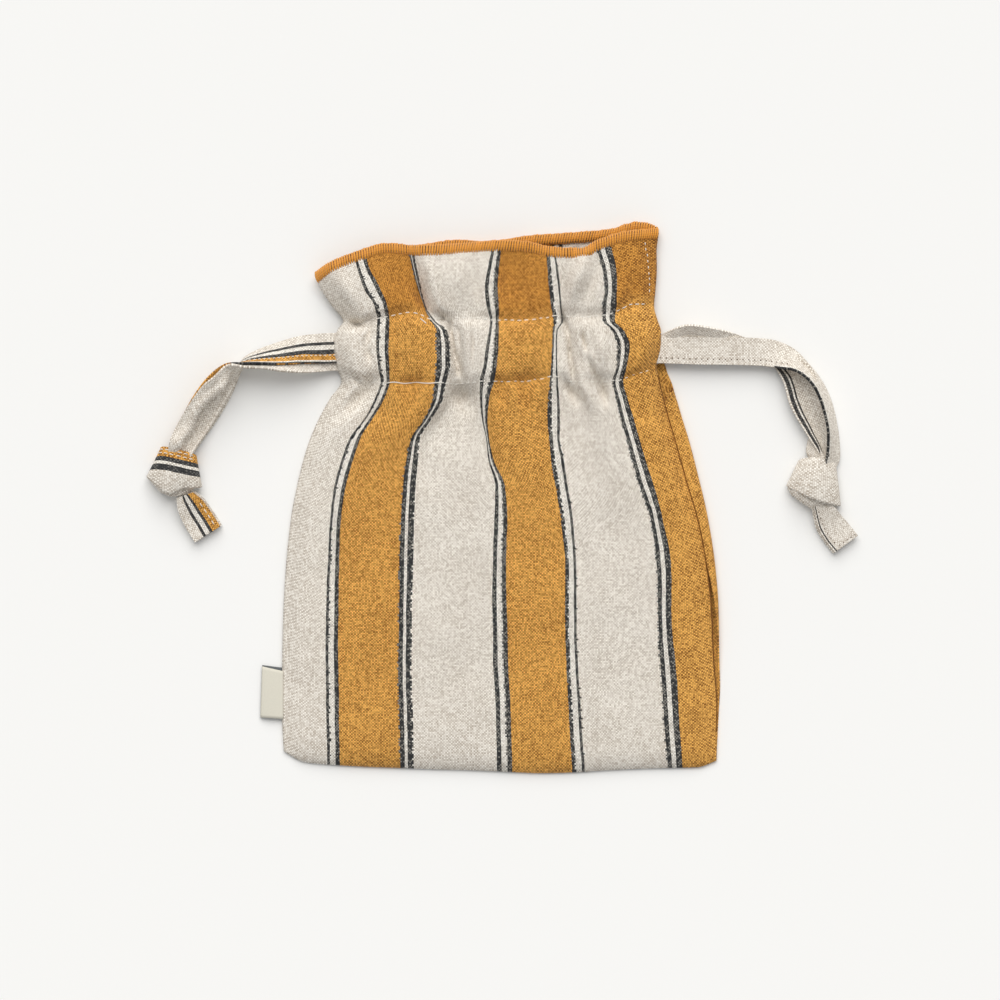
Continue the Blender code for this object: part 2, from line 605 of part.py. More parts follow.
def build_panels(collection):
    """Front and back panels, the edging round the mouth and the side label."""
    cloth_top = RIM_COURSE - EDGING_HEIGHT - GAP
    edging = (RIM_COURSE - EDGING_HEIGHT, RIM_COURSE)
    striped = cloth_material("striped_linen", NATURAL)
    thread = cloth_material("overlock_thread", MUSTARD_THREAD, THREAD_ROUGHNESS)
    across = cloth_stops()
    sheet("front_panel", across, course_stops(cloth_top), front_point, CLOTH, striped, collection)
    sheet("front_edging", across, edging, front_point, EDGING_THICKNESS, thread, collection)

    back = cloth_material("striped_linen_back", MUSTARD)
    flat_stops = np.linspace(0, FLAT_SHARE, BACK_FLAT_STEPS + 1)
    roll_stops = np.linspace(FLAT_SHARE, 1, BACK_ROLL_STEPS + 1)
    back_stops = np.concatenate((flat_stops, roll_stops[1:]))
    back_courses = course_stops(cloth_top)[::BACK_COURSE_SKIP]
    sheet("back_panel", back_stops, back_courses, back_point, CLOTH, back, collection)

    def back_edge(fraction, course):
        places = back_point(fraction, course)
        places[:, 2] += (EDGING_THICKNESS - CLOTH) / 2
        return places

    back_thread = cloth_material("overlock_thread_back", MUSTARD_THREAD, THREAD_ROUGHNESS)
    sheet("back_edging", back_stops, edging, back_edge, EDGING_THICKNESS, back_thread, collection)

    woven = cloth_material("woven_label", CREAM, LABEL_ROUGHNESS)
    upper = np.linspace(0, LABEL_LAYER_SHARE, LABEL_LAYER_STEPS + 1)
    fold = np.linspace(LABEL_LAYER_SHARE, 1 - LABEL_LAYER_SHARE, LABEL_FOLD_STEPS + 1)[1:]
    around = np.concatenate((upper, fold, 1 - upper[::-1][1:]))
    sheet("side_label", around, (0.0, 1.0), label_point, CLOTH, woven, collection)


def build_drawstrings(collection, cutters):
    """The two drawstrings: their loops in the neck, free strands, knots and tails."""
    names = ("left_drawstring", "right_drawstring")
    runs = ((LEFT_FRONT_RUN, LEFT_BACK_RUN, 1), (RIGHT_FRONT_RUN, RIGHT_BACK_RUN, -1))
    for name, (front_run, back_run, turn_sign) in zip(names, runs):
        linen = cloth_material(name + "_linen", NATURAL)
        rows = neck_loop(front_run, back_run, turn_sign)
        tape(name, rows, LOOP_STOPS, 0.0, (0.0,), 1, linen, collection)

    half_step = STRAND_STEP / 2
    half_stack = CLOTH / 2 + half_step
    left_rows = resting_rows([row[:6] for row in LEFT_TIE], half_stack)
    slide = [row[6] for row in LEFT_TIE]
    left_tail = resting_rows(LEFT_TAIL, half_stack)
    right_tail = resting_rows(RIGHT_TAIL, half_stack)
    ties = (
        # name, rows, stops, offset along the normal, shift sideways, side that faces up
        ("left_tie_upper", left_rows, TIE_STOPS, half_step, (0.0,), 1),
        ("left_tie_lower", left_rows, TIE_STOPS, -half_step, slide, 1),
        ("right_tie_upper", resting_rows(RIGHT_UPPER_TIE, CLOTH / 2), TIE_STOPS, 0.0, (0.0,), -1),
        ("right_tie_lower", resting_rows(RIGHT_LOWER_TIE, CLOTH / 2), SHORT_TIE_STOPS, 0.0, (0.0,), -1),
        ("left_tail_upper", left_tail, TAIL_STOPS, half_step, (0.0,), -1),
        ("left_tail_lower", left_tail, TAIL_STOPS, -half_step, (TAIL_SLIDE,), -1),
        ("right_tail_upper", right_tail, TAIL_STOPS, half_step, (0.0,), -1),
        ("right_tail_lower", right_tail, TAIL_STOPS, -half_step, (-TAIL_SLIDE,), -1),
    )
    knots = (("left", LEFT_KNOT, LEFT_KNOT_OUTLINE), ("right", RIGHT_KNOT, RIGHT_KNOT_OUTLINE))
    cutter = {}
    for side, size, outline in knots:
        linen = cloth_material(side + "_knot_linen", NATURAL)
        knot(side + "_knot", size, outline, linen, collection)
        cutter[side] = knot_cutter(side + "_knot_cutter", size, outline, linen, cutters)

    for name, rows, count, layer, shift, up in ties:
        linen = cloth_material(name + "_linen", NATURAL)
        piece = tape(name, rows, count, layer, shift, up, linen, collection)
        trim(piece, cutter[name.split("_")[0]])


def main():
    for old in list(bpy.data.objects):
        bpy.data.objects.remove(old, do_unlink=True)
    collection = new_collection(COLLECTION_NAME)
    build_panels(collection)
    build_drawstrings(collection, new_collection("cutters"))


main()
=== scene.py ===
"""Looks of the drawstring pouch: striped linen cloths, overlocked frill, tapes, knots and stitches.

Lengths in the tables are millimetres. The cloth's own coordinates, across and along it, are its
texture coordinates in metres, so stripes and weave follow every fold.
"""

import math

import bpy
import numpy as np
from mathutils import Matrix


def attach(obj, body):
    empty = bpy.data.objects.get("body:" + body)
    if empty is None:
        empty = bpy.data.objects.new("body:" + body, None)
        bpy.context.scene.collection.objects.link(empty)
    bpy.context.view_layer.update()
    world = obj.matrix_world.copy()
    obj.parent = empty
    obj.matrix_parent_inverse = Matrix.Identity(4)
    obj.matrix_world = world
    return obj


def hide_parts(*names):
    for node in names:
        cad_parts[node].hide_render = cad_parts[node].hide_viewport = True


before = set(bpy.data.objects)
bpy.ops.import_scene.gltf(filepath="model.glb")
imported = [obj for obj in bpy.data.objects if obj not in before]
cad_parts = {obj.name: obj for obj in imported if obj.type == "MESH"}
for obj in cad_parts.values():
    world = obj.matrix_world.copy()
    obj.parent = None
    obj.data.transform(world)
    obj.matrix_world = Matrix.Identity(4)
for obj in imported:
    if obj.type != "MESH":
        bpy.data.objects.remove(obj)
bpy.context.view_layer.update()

MM = 0.001

# Photograph's frame: one pixel on the surface, and its middle in the part's frame
PIXEL = 0.4
PICTURE_SIDE = 1000
PICTURE_CENTRE = (4.1, -1.4)

# Cloth, thread and tape sizes
CLOTH = 0.6
CLOTH_WIDTH = 173.0
CLOTH_STEP = 0.94
THREAD_PITCH = 0.6
EDGING_HEIGHT = 4.2
EDGING_HALF = 0.72
EDGING_REST = 1.35
CURL_RADIUS = 1.6
ROLLED_LENGTH = 10.5
FLAT_SHARE = 0.65
CORNER_FADE = 16.0
TAPE = 1.0
STRAND_STEP = 1.45
LOOP_RADIUS = 3.0
LOOP_EASE = 0.3
LOOP_STEPS = 6

# Courses, which are weft threads, are named by their height at the middle of the pouch
HEM_COURSE = -109.6
LOWER_STITCH = 46.0
UPPER_STITCH = 70.6
RIM_COURSE = 102.0

# Warp threads at the side seams and at both edges of the five stripe groups, g1 to g5: their
# place in the flat cloth, from the left seam
WARP_U = (0.0, 16.4, 22.0, 45.6, 50.8, 84.4, 90.0, 113.6, 119.6, 152.4, 158.4, 173.0)

# Where those threads lie, as x at each height y
WARP_LINES = (
    # y, left, g1a, g1b, g2a, g2b, g3a, g3b, g4a, g4b, g5a, g5b, seam
    (-108, -81.9, -65.3, -60.1, -36.3, -31.2, 2.7, 8.4, 32.5, 38.1, 70.5, 76.5, 90.6),
    (-84, -83.0, -65.7, -60.4, -36.7, -31.5, 2.1, 7.7, 31.1, 36.5, 68.7, 74.7, 91.0),
    (-64, -82.8, -65.9, -60.7, -37.1, -31.9, 1.1, 6.7, 30.1, 35.3, 67.3, 73.3, 89.6),
    (-45, -82.3, -65.7, -60.5, -36.7, -31.9, 0.9, 6.2, 29.7, 34.7, 66.7, 71.9, 88.8),
    (-28, -81.3, -65.1, -60.3, -36.7, -31.5, 1.1, 5.9, 29.7, 34.5, 66.1, 71.7, 86.9),
    (-9, -79.3, -63.9, -59.5, -35.9, -30.9, 1.7, 6.5, 27.9, 33.3, 63.7, 68.5, 83.3),
    (4, -76.9, -62.3, -57.5, -35.1, -30.3, 2.1, 5.7, 25.9, 31.3, 59.3, 64.9, 79.4),
    (15, -74.2, -59.1, -54.3, -33.7, -29.3, -0.7, 1.3, 24.1, 29.7, 56.1, 61.3, 76.3),
    (23, -71.6, -56.3, -51.7, -31.9, -28.5, -1.5, -0.3, 23.3, 28.1, 54.1, 59.1, 74.1),
    (31, -68.1, -50.5, -46.9, -26.5, -23.9, -3.1, -1.1, 22.5, 28.1, 51.9, 56.9, 71.7),
    (39, -63.7, -46.1, -42.1, -23.1, -19.3, -3.9, -0.7, 22.7, 27.9, 50.1, 54.5, 69.5),
    (46, -59.1, -43.7, -39.9, -22.4, -17.9, -3.9, 1.1, 23.6, 27.3, 48.5, 52.7, 67.8),
    (52, -61.0, -44.9, -40.1, -21.8, -16.3, -2.5, 2.3, 24.1, 27.1, 50.1, 54.1, 66.5),
    (60, -62.1, -45.7, -40.5, -21.8, -16.5, -1.5, 3.1, 24.5, 26.9, 50.5, 55.3, 68.0),
    (66, -60.9, -45.4, -40.3, -21.7, -17.7, -0.4, 3.2, 24.8, 27.1, 48.3, 53.1, 68.2),
    (70, -58.4, -45.1, -40.1, -23.9, -22.1, 0.1, 3.1, 25.1, 29.1, 44.9, 49.3, 67.0),
    (76, -62.7, -46.3, -40.9, -26.4, -25.5, -1.4, 2.9, 24.1, 28.9, 44.5, 49.9, 65.5),
    (83, -67.3, -50.7, -43.9, -28.9, -27.3, -2.1, 2.5, 23.3, 28.3, 45.5, 50.1, 66.1),
    (91, -70.7, -53.2, -48.1, -31.1, -29.2, -0.9, 3.1, 22.7, 27.3, 44.5, 49.7, 66.6),
    (98, -72.3, -55.1, -50.1, -32.7, -30.6, 0.5, 4.1, 22.1, 26.3, 42.5, 48.1, 66.5),
    (106, -73.0, -56.3, -51.5, -33.9, -31.7, 1.5, 4.7, 21.7, 25.7, 41.1, 46.9, 67.5),
)

# Stations across the flat cloth for reach and height: the seams, the natural spans n, the stripe
# groups g and the mustard spans m
STATION_U = (
    0.0, 8.0, 19.2, 34.0, 48.2, 59.0, 74.0, 87.2, 102.0, 116.6, 129.0, 143.0, 155.4, 165.0, 173.0,
)

# How far up the pouch the four sewn courses reach at each station, as y
SEWN_COURSES = (
    # course, left, n1, g1, m1, g2, n2a, n2b, g3, m2, g4, n3a, n3b, g5, m3, seam
    (HEM_COURSE, -101.9, -106.0, -107.1, -107.9, -108.4, -108.8, -109.2, -109.8,
     -110.4, -110.0, -109.2, -108.6, -108.3, -108.1, -105.6),
    (LOWER_STITCH, 49.6, 46.4, 45.2, 45.4, 45.2, 45.0, 45.4, 46.0,
     45.8, 48.0, 46.0, 45.8, 46.3, 49.1, 51.6),
    (UPPER_STITCH, 68.6, 69.0, 71.4, 73.4, 70.6, 71.0, 71.2, 70.4,
     70.2, 72.2, 71.6, 71.8, 72.6, 76.6, 77.0),
    (RIM_COURSE, 88.6, 93.6, 97.7, 100.8, 100.2, 100.0, 101.1, 102.1,
     101.8, 99.4, 98.9, 99.2, 102.6, 105.8, 107.0),
)

# Height of the front cloth's middle layer above the surface, course by course
RELIEF = (
    # course, left, n1, g1, m1, g2, n2a, n2b, g3, m2, g4, n3a, n3b, g5, m3, seam
    (HEM_COURSE, 0.9, 0.9, 0.9, 0.9, 0.9, 0.9, 0.9, 0.9, 0.9, 0.9, 0.9, 0.9, 0.9, 0.9, 0.9),
    (-108, 1.0, 2.3, 2.6, 2.6, 2.6, 2.6, 2.6, 2.6, 2.6, 2.6, 2.6, 2.6, 2.4, 2.0, 1.0),
    (-103, 1.2, 3.6, 4.2, 4.4, 4.4, 4.4, 4.4, 4.4, 4.4, 4.4, 4.4, 4.4, 4.1, 3.4, 1.1),
    (-92, 1.3, 4.5, 5.2, 5.4, 5.4, 5.4, 5.4, 5.4, 5.4, 5.4, 5.4, 5.4, 5.0, 4.2, 1.2),
    (-78, 1.3, 5.2, 6.0, 6.2, 6.2, 6.2, 6.2, 6.2, 6.2, 6.2, 6.2, 6.2, 5.8, 4.9, 1.6),
    (-50, 1.3, 6.2, 7.2, 7.5, 7.5, 7.6, 7.6, 7.5, 7.6, 7.5, 7.5, 7.5, 7.1, 5.9, 2.4),
    (-10, 1.3, 7.0, 8.2, 9.0, 8.6, 8.4, 8.8, 8.3, 9.0, 8.7, 8.7, 9.0, 8.5, 7.1, 2.6),
    (14, 1.3, 7.6, 8.8, 11.0, 9.6, 7.8, 8.8, 8.2, 10.6, 9.4, 9.0, 10.6, 9.6, 8.2, 2.6),
    (27, 1.3, 8.6, 8.2, 12.2, 10.6, 6.4, 7.4, 8.0, 11.4, 8.8, 8.4, 11.4, 10.2, 8.8, 2.6),
    (34, 1.6, 9.4, 8.2, 12.6, 11.6, 5.6, 6.8, 9.0, 11.8, 9.0, 8.8, 11.6, 10.4, 9.0, 2.8),
    (40, 1.9, 9.6, 8.6, 12.2, 12.2, 6.8, 7.6, 9.8, 11.4, 9.8, 9.2, 11.2, 10.4, 9.2, 3.0),
    (LOWER_STITCH, 2.6, 9.4, 10.0, 10.8, 13.2, 11.8, 11.2, 11.2,
     10.2, 11.2, 11.2, 10.8, 10.6, 9.2, 3.6),
    (50, 4.4, 11.8, 11.2, 13.2, 13.6, 10.6, 12.2, 12.8, 13.4, 11.8, 12.0, 13.2, 12.2, 11.4, 4.8),
    (58, 5.2, 12.6, 11.6, 14.2, 13.8, 10.2, 13.4, 13.0, 14.4, 11.4, 11.2, 13.8, 12.0, 12.0, 5.2),
    (66, 4.8, 11.6, 11.4, 13.2, 12.6, 10.2, 12.6, 12.4, 13.2, 11.2, 11.0, 13.0, 11.8, 11.2, 4.6),
    (UPPER_STITCH, 3.6, 8.8, 10.0, 10.0, 10.4, 9.6, 9.8, 10.8,
     10.0, 10.2, 9.8, 10.0, 10.4, 9.4, 3.0),
    (75, 3.4, 10.2, 12.6, 11.4, 9.4, 11.8, 10.4, 12.4, 10.4, 10.0, 11.6, 12.0, 12.2, 10.2, 2.8),
    (86, 4.0, 11.4, 12.8, 9.8, 8.6, 13.6, 11.8, 11.2, 9.2, 10.2, 12.6, 13.0, 12.0, 9.8, 3.0),
    (RIM_COURSE, 4.6, 9.6, 10.8, 9.2, 9.6, 12.0, 9.8, 10.4, 10.6, 9.4, 10.4, 9.4, 11.8, 10.2, 3.4),
)

# Creases and small ridges on the front: straight soft lines, lower where depth is negative
CREASES = (
    # x0, y0, x1, y1, depth, half width
    (-46.7, 69.4, -49.5, 60.6, -2.9, 1.2),
    (-49.5, 60.6, -47.9, 53.8, -2.6, 1.1),
    (-57.0, 69.8, -50.5, 68.0, -6.4, 1.7),
    (-51.0, 69.4, -46.6, 71.6, -2.3, 1.0),
    (-44.7, 47.4, -59.5, 32.6, -5.4, 3.2),
    (-38.5, 35.4, -52.0, 27.0, -1.4, 4.0),
    (-55.1, 48.4, -51.3, 44.8, -2.6, 1.0),
    (-60.0, 55.0, -57.2, 47.4, 1.2, 1.6),
    (-24.5, 93.8, -21.7, 82.6, 1.8, 2.0),
    (-21.7, 82.6, -18.6, 72.6, 2.3, 1.8),
    (-29.5, 84.6, -25.5, 73.4, -2.9, 2.2),
    (-19.6, 72.6, -17.6, 70.0, -4.2, 1.5),
    (-15.9, 71.6, -15.7, 63.6, -3.4, 1.2),
    (-15.7, 65.6, -14.2, 54.6, -3.6, 1.3),
    (-14.2, 56.6, -11.2, 47.4, -3.4, 1.4),
    (-9.6, 71.4, -9.4, 50.0, 2.0, 2.2),
    (-12.6, 69.4, -11.6, 59.4, -1.2, 0.8),
    (-6.8, 66.4, -7.2, 52.4, -1.4, 0.9),
    (-15.2, 47.0, -10.6, 36.0, -5.2, 3.4),
    (-11.6, 45.0, -8.6, 37.0, -2.1, 2.4),
    (-5.6, 46.6, -6.4, 34.0, -1.7, 1.6),
    (-36.5, 47.4, -39.5, 34.4, 1.7, 2.6),
    (-30.0, 46.4, -34.5, 28.0, -1.7, 2.4),
    (-24.5, 46.4, -27.0, 33.0, 1.3, 2.0),
    (-37.5, 70.0, -38.0, 60.0, -1.4, 1.8),
    (-30.5, 70.0, -30.0, 61.0, 1.3, 2.0),
    (5.0, 46.0, 5.0, 34.0, -1.7, 2.2),
    (13.0, 47.0, 14.0, 32.0, -2.1, 2.4),
    (9.0, 46.6, 9.6, 36.0, 1.3, 1.8),
    (20.0, 47.6, 20.6, 36.0, 1.3, 2.0),
    (14.6, 51.4, 17.0, 48.0, -2.0, 2.0),
    (8.0, 70.0, 8.4, 60.0, -1.3, 1.8),
    (15.6, 70.4, 15.4, 62.0, 1.3, 1.8),
    (28.4, 75.4, 29.4, 68.6, -4.5, 1.1),
    (29.6, 71.4, 31.8, 62.6, -4.2, 1.1),
    (31.8, 62.6, 32.0, 55.6, -3.9, 1.1),
    (32.0, 57.0, 34.1, 44.6, -3.6, 1.47),
    (35.0, 70.6, 36.0, 62.0, 2.9, 1.38),
    (36.0, 62.0, 41.0, 52.0, 3.1, 1.47),
    (35.6, 68.2, 39.4, 54.2, -3.9, 1.01),
    (39.4, 55.4, 42.9, 46.2, -4.2, 1.2),
    (44.0, 64.0, 45.6, 52.0, 2.0, 1.66),
    (43.6, 46.6, 46.4, 37.4, -4.2, 1.75),
    (29.5, 47.2, 34.9, 38.2, -4.2, 1.84),
    (36.6, 47.2, 40.6, 36.0, 2.6, 2.02),
    (63.3, 75.4, 66.9, 67.4, -2.3, 0.9),
    (38.6, 97.4, 31.8, 77.4, 2.5, 2.2),
    (43.6, 94.0, 37.6, 76.0, -2.1, 2.4),
    (33.4, 97.0, 27.4, 80.0, -1.6, 2.2),
    (50.6, 74.6, 52.6, 84.6, 1.2, 1.8),
    (56.6, 75.0, 57.6, 88.0, -1.2, 2.0),
    (60.2, 36.4, 68.2, 28.6, -1.6, 3.6),
    (56.0, 47.0, 60.0, 30.0, -1.2, 2.6),
    (-36.0, 32.0, -24.0, 6.0, -1.2, 4.0),
    (-66.0, 86.0, -57.0, 75.0, -1.4, 2.6),
    (-62.0, 92.0, -52.0, 74.0, 1.2, 2.4),
    (-6.6, 92.0, -4.2, 75.0, -1.7, 1.8),
    (-12.6, 96.0, -11.0, 76.0, 1.2, 2.0),
    (6.0, 96.0, 8.4, 78.0, -1.3, 2.0),
    (14.6, 94.0, 15.6, 76.0, 0.8, 2.0),
    (-40.0, 70.8, -29.0, 71.0, -0.8, 0.9),
    (4.0, 70.6, 24.0, 71.4, -0.8, 0.9),
    (50.0, 73.4, 64.0, 76.6, -0.8, 0.9),
    (-38.0, 45.4, -22.0, 45.2, -0.8, 0.9),
    (2.0, 45.8, 24.0, 47.2, -0.8, 0.9),
    (52.0, 46.8, 66.0, 51.4, -0.8, 0.9),
)

# Long waves that keep the cloth from lying quite even
WAVES = (
    # wavelength, heading, height, phase
    (61.0, 20, 0.22, 0.4),
    (43.0, 96, 0.16, 1.9),
    (29.0, 150, 0.11, 3.1),
    (19.0, 62, 0.07, 0.9),
    (12.5, 118, 0.045, 2.2),
    (8.3, 8, 0.03, 4.0),
)

# The back panel's right edge rolls up and over to the side seam. Width is how far the roll
# stands out past the seam, and rise is how far the rolled edge is lifted.
RIGHT_ROLL = (
    # y, width, rise
    (-104, 0.0, 0.0),
    (-86, 0.6, 0.0),
    (-75, 1.4, 0.5),
    (-64, 1.9, 1.5),
    (-45, 2.4, 2.8),
    (-28, 3.0, 3.2),
    (-9, 3.7, 3.2),
    (4, 4.7, 3.2),
    (20, 5.1, 3.2),
    (38, 4.9, 3.2),
    (43, 4.7, 2.0),
    (47, 4.4, 0.4),
    (49, 4.2, 0.0),
    (52, 3.8, 0.0),
    (55, 2.0, 0.0),
    (60, 0.0, 0.0),
    (106, 0.0, 0.0),
)

# Reach of the back panel at its mouth, at fractions of its width, and how far its hem stays
# behind the front's
BACK_RIM = (
    # fraction, rim
    (0.0, 88.6), (0.15, 97.9), (0.25, 101.3), (0.3, 102.6), (0.36, 102.0), (0.45, 104.4),
    (0.52, 105.4), (0.6, 106.8), (0.66, 109.7), (0.72, 109.8), (0.85, 109.4), (1.0, 107.3),
)
HEM_BEHIND = 0.7

# How far the back panel's side edges stand off the surface
BACK_LIFT = (
    # y, left, right
    (HEM_COURSE, 0.0, 0.0),
    (66, 0.0, 0.0),
    (70, 0.7, 0.5),
    (76, 2.0, 1.0),
    (82, 2.8, 1.3),
    (89, 3.3, 1.6),
    (110, 3.3, 1.9),
)

# Side label: x and y of the inner and the outer corner of its lower end, and its two layers
LABEL_LOWER = ((-82.6, -89.0), (-91.7, -88.4))
LABEL_LAYERS = (
    # name, node, height, bulge, inner and outer corner of the upper end
    ("label_face", "side_label", 1.9, 0.25, (-82.6, -69.8), (-91.0, -67.9)),
    ("label_back", None, 0.7, 0.0, (-82.6, -68.5), (-91.0, -67.4)),
)
LABEL_THICKNESS = 0.3
LABEL_FLAT = (9.0, 21.0)

# Routes of the drawstrings in the neck
LEFT_FRONT_RUN = (
    # x, y, z, width
    (-59.7, 59.5, 3.2, 11.5),
    (-54, 60.4, 5.6, 9.0),
    (-48, 61.9, 7.6, 7.0),
    (-42, 62.9, 8.0, 7.0),
    (0, 63.0, 8.0, 7.0),
    (37, 63.0, 8.0, 7.0),
)
LEFT_BACK_RUN = (
    # x, y, z, width
    (37, 63.0, 2.0, 7.0),
    (0, 63.0, 2.0, 7.0),
    (-42, 62.6, 2.0, 7.0),
    (-48, 61.2, 2.0, 7.0),
    (-54, 58.6, 1.9, 9.0),
    (-59.7, 56.5, 1.8, 11.5),
)
RIGHT_FRONT_RUN = (
    # x, y, z, width
    (65.4, 58.4, 3.2, 11.0),
    (60, 57.4, 5.6, 9.0),
    (53, 55.3, 7.6, 7.0),
    (46, 54.1, 8.0, 7.0),
    (0, 54.0, 8.0, 7.0),
    (-37, 54.0, 8.0, 7.0),
)
RIGHT_BACK_RUN = (
    # x, y, z, width
    (-37, 54.0, 2.0, 7.0),
    (0, 54.0, 2.0, 7.0),
    (46, 54.1, 2.0, 7.0),
    (53, 55.3, 2.0, 7.0),
    (60, 56.8, 1.9, 9.0),
    (65.4, 57.6, 1.8, 11.0),
)

# Distance along the ties at which each has turned over
LEFT_TURN_RUN = 44.0
RIGHT_TURN_RUN = 49.0

# Free strands. Clearance is the height of the strand's lowest edge, turn is the heading of its
# width on the surface, bank is the tilt of that width, both in degrees.
LEFT_TIE = (
    # x, y, clearance, turn, bank, width, slide of the lower strand
    (-60.0, 59.4, 1.4, 90, 0, 12.0, -3.0),
    (-65.5, 59.1, 2.6, 91, -5, 12.0, -3.0),
    (-75.0, 58.2, 2.2, 97, -24, 12.0, -3.4),
    (-84.3, 56.4, 1.8, 103, -44, 12.0, -2.6),
    (-91.9, 54.9, 1.2, 110, -62, 12.0, -1.0),
    (-98.4, 52.9, 0.6, 120, -84, 12.0, -1.6),
    (-103.4, 48.8, 0.4, 131, -128, 12.6, -2.5),
    (-108.6, 42.4, 0.2, 140, -150, 13.8, -2.3),
    (-113.6, 35.0, 0.1, 148, -160, 13.6, -1.7),
    (-118.4, 27.2, 0.6, 156, -174, 12.0, -0.8),
    (-122.6, 19.6, 2.4, 165, -184, 10.0, 0.0),
    (-124.4, 13.6, 3.4, 168, -184, 8.0, 0.0),
)
RIGHT_UPPER_TIE = (
    # x, y, clearance, turn, bank, width
    (65.7, 58.8, 2.7, 90, 0, 11.0),
    (72.0, 58.6, 3.4, 90, 0, 11.0),
    (84.1, 58.2, 3.6, 90, 0, 11.0),
    (100.1, 58.0, 3.2, 89, -2, 11.0),
    (111.0, 57.4, 2.4, 86, -8, 11.0),
    (119.0, 55.2, 1.4, 70, -36, 11.0),
    (124.6, 51.8, 0.5, 52, -60, 11.0),
    (129.9, 46.4, 0.2, 36, -68, 11.0),
    (133.5, 39.8, 0.2, 22, -68, 11.0),
    (135.6, 33.0, 0.2, 12, -68, 11.0),
    (136.8, 26.8, 0.2, 5, -68, 11.0),
    (137.2, 20.8, 0.4, -3, -62, 10.0),
    (136.8, 14.6, 1.2, -8, -50, 8.0),
    (134.4, 9.0, 2.4, -10, -40, 5.0),
)
RIGHT_LOWER_TIE = (
    # x, y, clearance, turn, bank, width
    (65.7, 57.6, 1.3, 90, 0, 11.0),
    (72.0, 61.4, 0.8, 88, 26, 11.0),
    (78.5, 64.4, 0.3, 86, 44, 11.0),
    (85.3, 63.8, 0.2, 84, 44, 11.0),
    (94.1, 61.0, 0.2, 80, 26, 11.0),
    (103.1, 58.2, 0.1, 76, 4, 9.6),
    (110.6, 57.2, 0.1, 66, 0, 9.0),
    (116.6, 55.2, 0.1, 46, 0, 9.4),
    (122.8, 48.8, 0.3, 28, 0, 12.8),
    (125.8, 39.8, 0.3, 20, 0, 13.4),
    (128.4, 33.3, 0.3, 22, 0, 12.2),
    (131.6, 25.2, 0.4, 28, 0, 9.0),
    (133.9, 17.4, 1.2, 28, 0, 5.0),
    (133.4, 12.0, 2.0, 24, 0, 3.4),
)
LEFT_TAIL = (
    # x, y, clearance, turn, bank, width
    (-121.8, 0.6, 3.0, 20, 0, 7.0),
    (-119.9, -3.0, 2.0, 22, 0, 10.4),
    (-118.0, -6.6, 0.8, 25, 0, 11.6),
    (-115.6, -10.6, 0.1, 29, 0, 12.0),
    (-112.7, -15.2, 0.1, 33, 0, 12.0),
)
RIGHT_TAIL = (
    # x, y, clearance, turn, bank, width
    (132.2, -2.0, 3.0, 16, 0, 6.0),
    (134.0, -6.0, 2.2, 20, 0, 8.6),
    (136.0, -10.2, 0.8, 28, 0, 10.6),
    (138.8, -14.2, 0.1, 32, 0, 11.4),
    (142.6, -19.0, 0.1, 36, 0, 11.4),
)

# Knots: centre, height and outline of the core that the bands wrap
LEFT_KNOT = {"x": -126.3, "y": 8.6, "height": 7.9}
LEFT_KNOT_OUTLINE = (
    # heading, radius
    (-180, 8.2), (-133, 6.4), (-86, 8.4), (-51, 8.2), (-27, 10.2), (10, 8.2),
    (45, 9.2), (81, 8.2), (114, 9.2), (150, 8.4), (180, 8.2),
)
RIGHT_KNOT = {"x": 130.1, "y": 4.6, "height": 8.2}
RIGHT_KNOT_OUTLINE = (
    # heading, radius
    (-180, 9.0), (-165, 9.8), (-128, 8.9), (-96, 9.2), (-66, 8.9), (-40, 10.6),
    (6, 7.2), (49, 8.8), (78, 8.0), (109, 9.4), (142, 8.3), (180, 9.0),
)

# Bands of tape over the knots: x, y, z places of the upper edge, those of the lower, and bulge
LEFT_WRAP = (
    (
        (-131.4, 15.8, 1.6), (-130.7, 19.6, 4.4), (-124.6, 18.6, 8.0), (-118.4, 16.8, 4.2),
        (-117.6, 15.6, 1.4),
    ),
    (
        (-136.4, 8.4, 1.6), (-136.0, 7.0, 4.8), (-128.4, 1.2, 7.4), (-122.8, 3.2, 7.6),
        (-115.8, 3.6, 4.4), (-116.2, 4.6, 1.2),
    ),
    2.2,
)
LEFT_UNDER = (
    (
        (-134.8, 8.4, 1.6), (-136.4, 8.2, 3.8), (-128.0, 6.4, 7.0), (-118.0, 4.6, 4.0),
        (-118.4, 4.0, 1.6),
    ),
    (
        (-130.0, 1.4, 1.2), (-131.4, 2.0, 3.4), (-126.6, 0.2, 5.0), (-120.6, 1.6, 3.8),
        (-120.4, 2.8, 1.6),
    ),
    0.4,
)
RIGHT_WRAP = (
    (
        (123.2, 12.6, 1.4), (124.6, 14.8, 4.2), (130.6, 15.4, 7.6), (137.2, 13.4, 4.0),
        (137.8, 12.4, 1.2),
    ),
    (
        (119.4, 4.6, 1.6), (119.8, 3.4, 4.4), (129.6, -1.2, 8.8), (139.0, -3.8, 4.2),
        (139.4, -2.6, 1.2),
    ),
    1.4,
)
RIGHT_UNDER = (
    (
        (120.2, 3.6, 1.4), (119.8, 3.2, 3.6), (127.0, 0.6, 5.4), (134.0, -2.6, 4.2),
        (134.6, -2.8, 2.4),
    ),
    (
        (121.6, 0.0, 0.8), (121.2, 0.6, 2.6), (126.6, -3.4, 4.0), (131.0, -5.4, 3.6),
        (132.4, -5.2, 2.0),
    ),
    0.9,
)
RIGHT_TURN = (
    ((129.2, 24.6, 1.6), (129.8, 23.0, 2.4), (131.8, 19.4, 3.6), (134.8, 14.4, 5.0)),
    ((127.8, 23.4, 0.9), (126.8, 17.6, 1.6), (129.2, 14.4, 3.0), (133.2, 12.6, 4.6)),
    0.4,
)

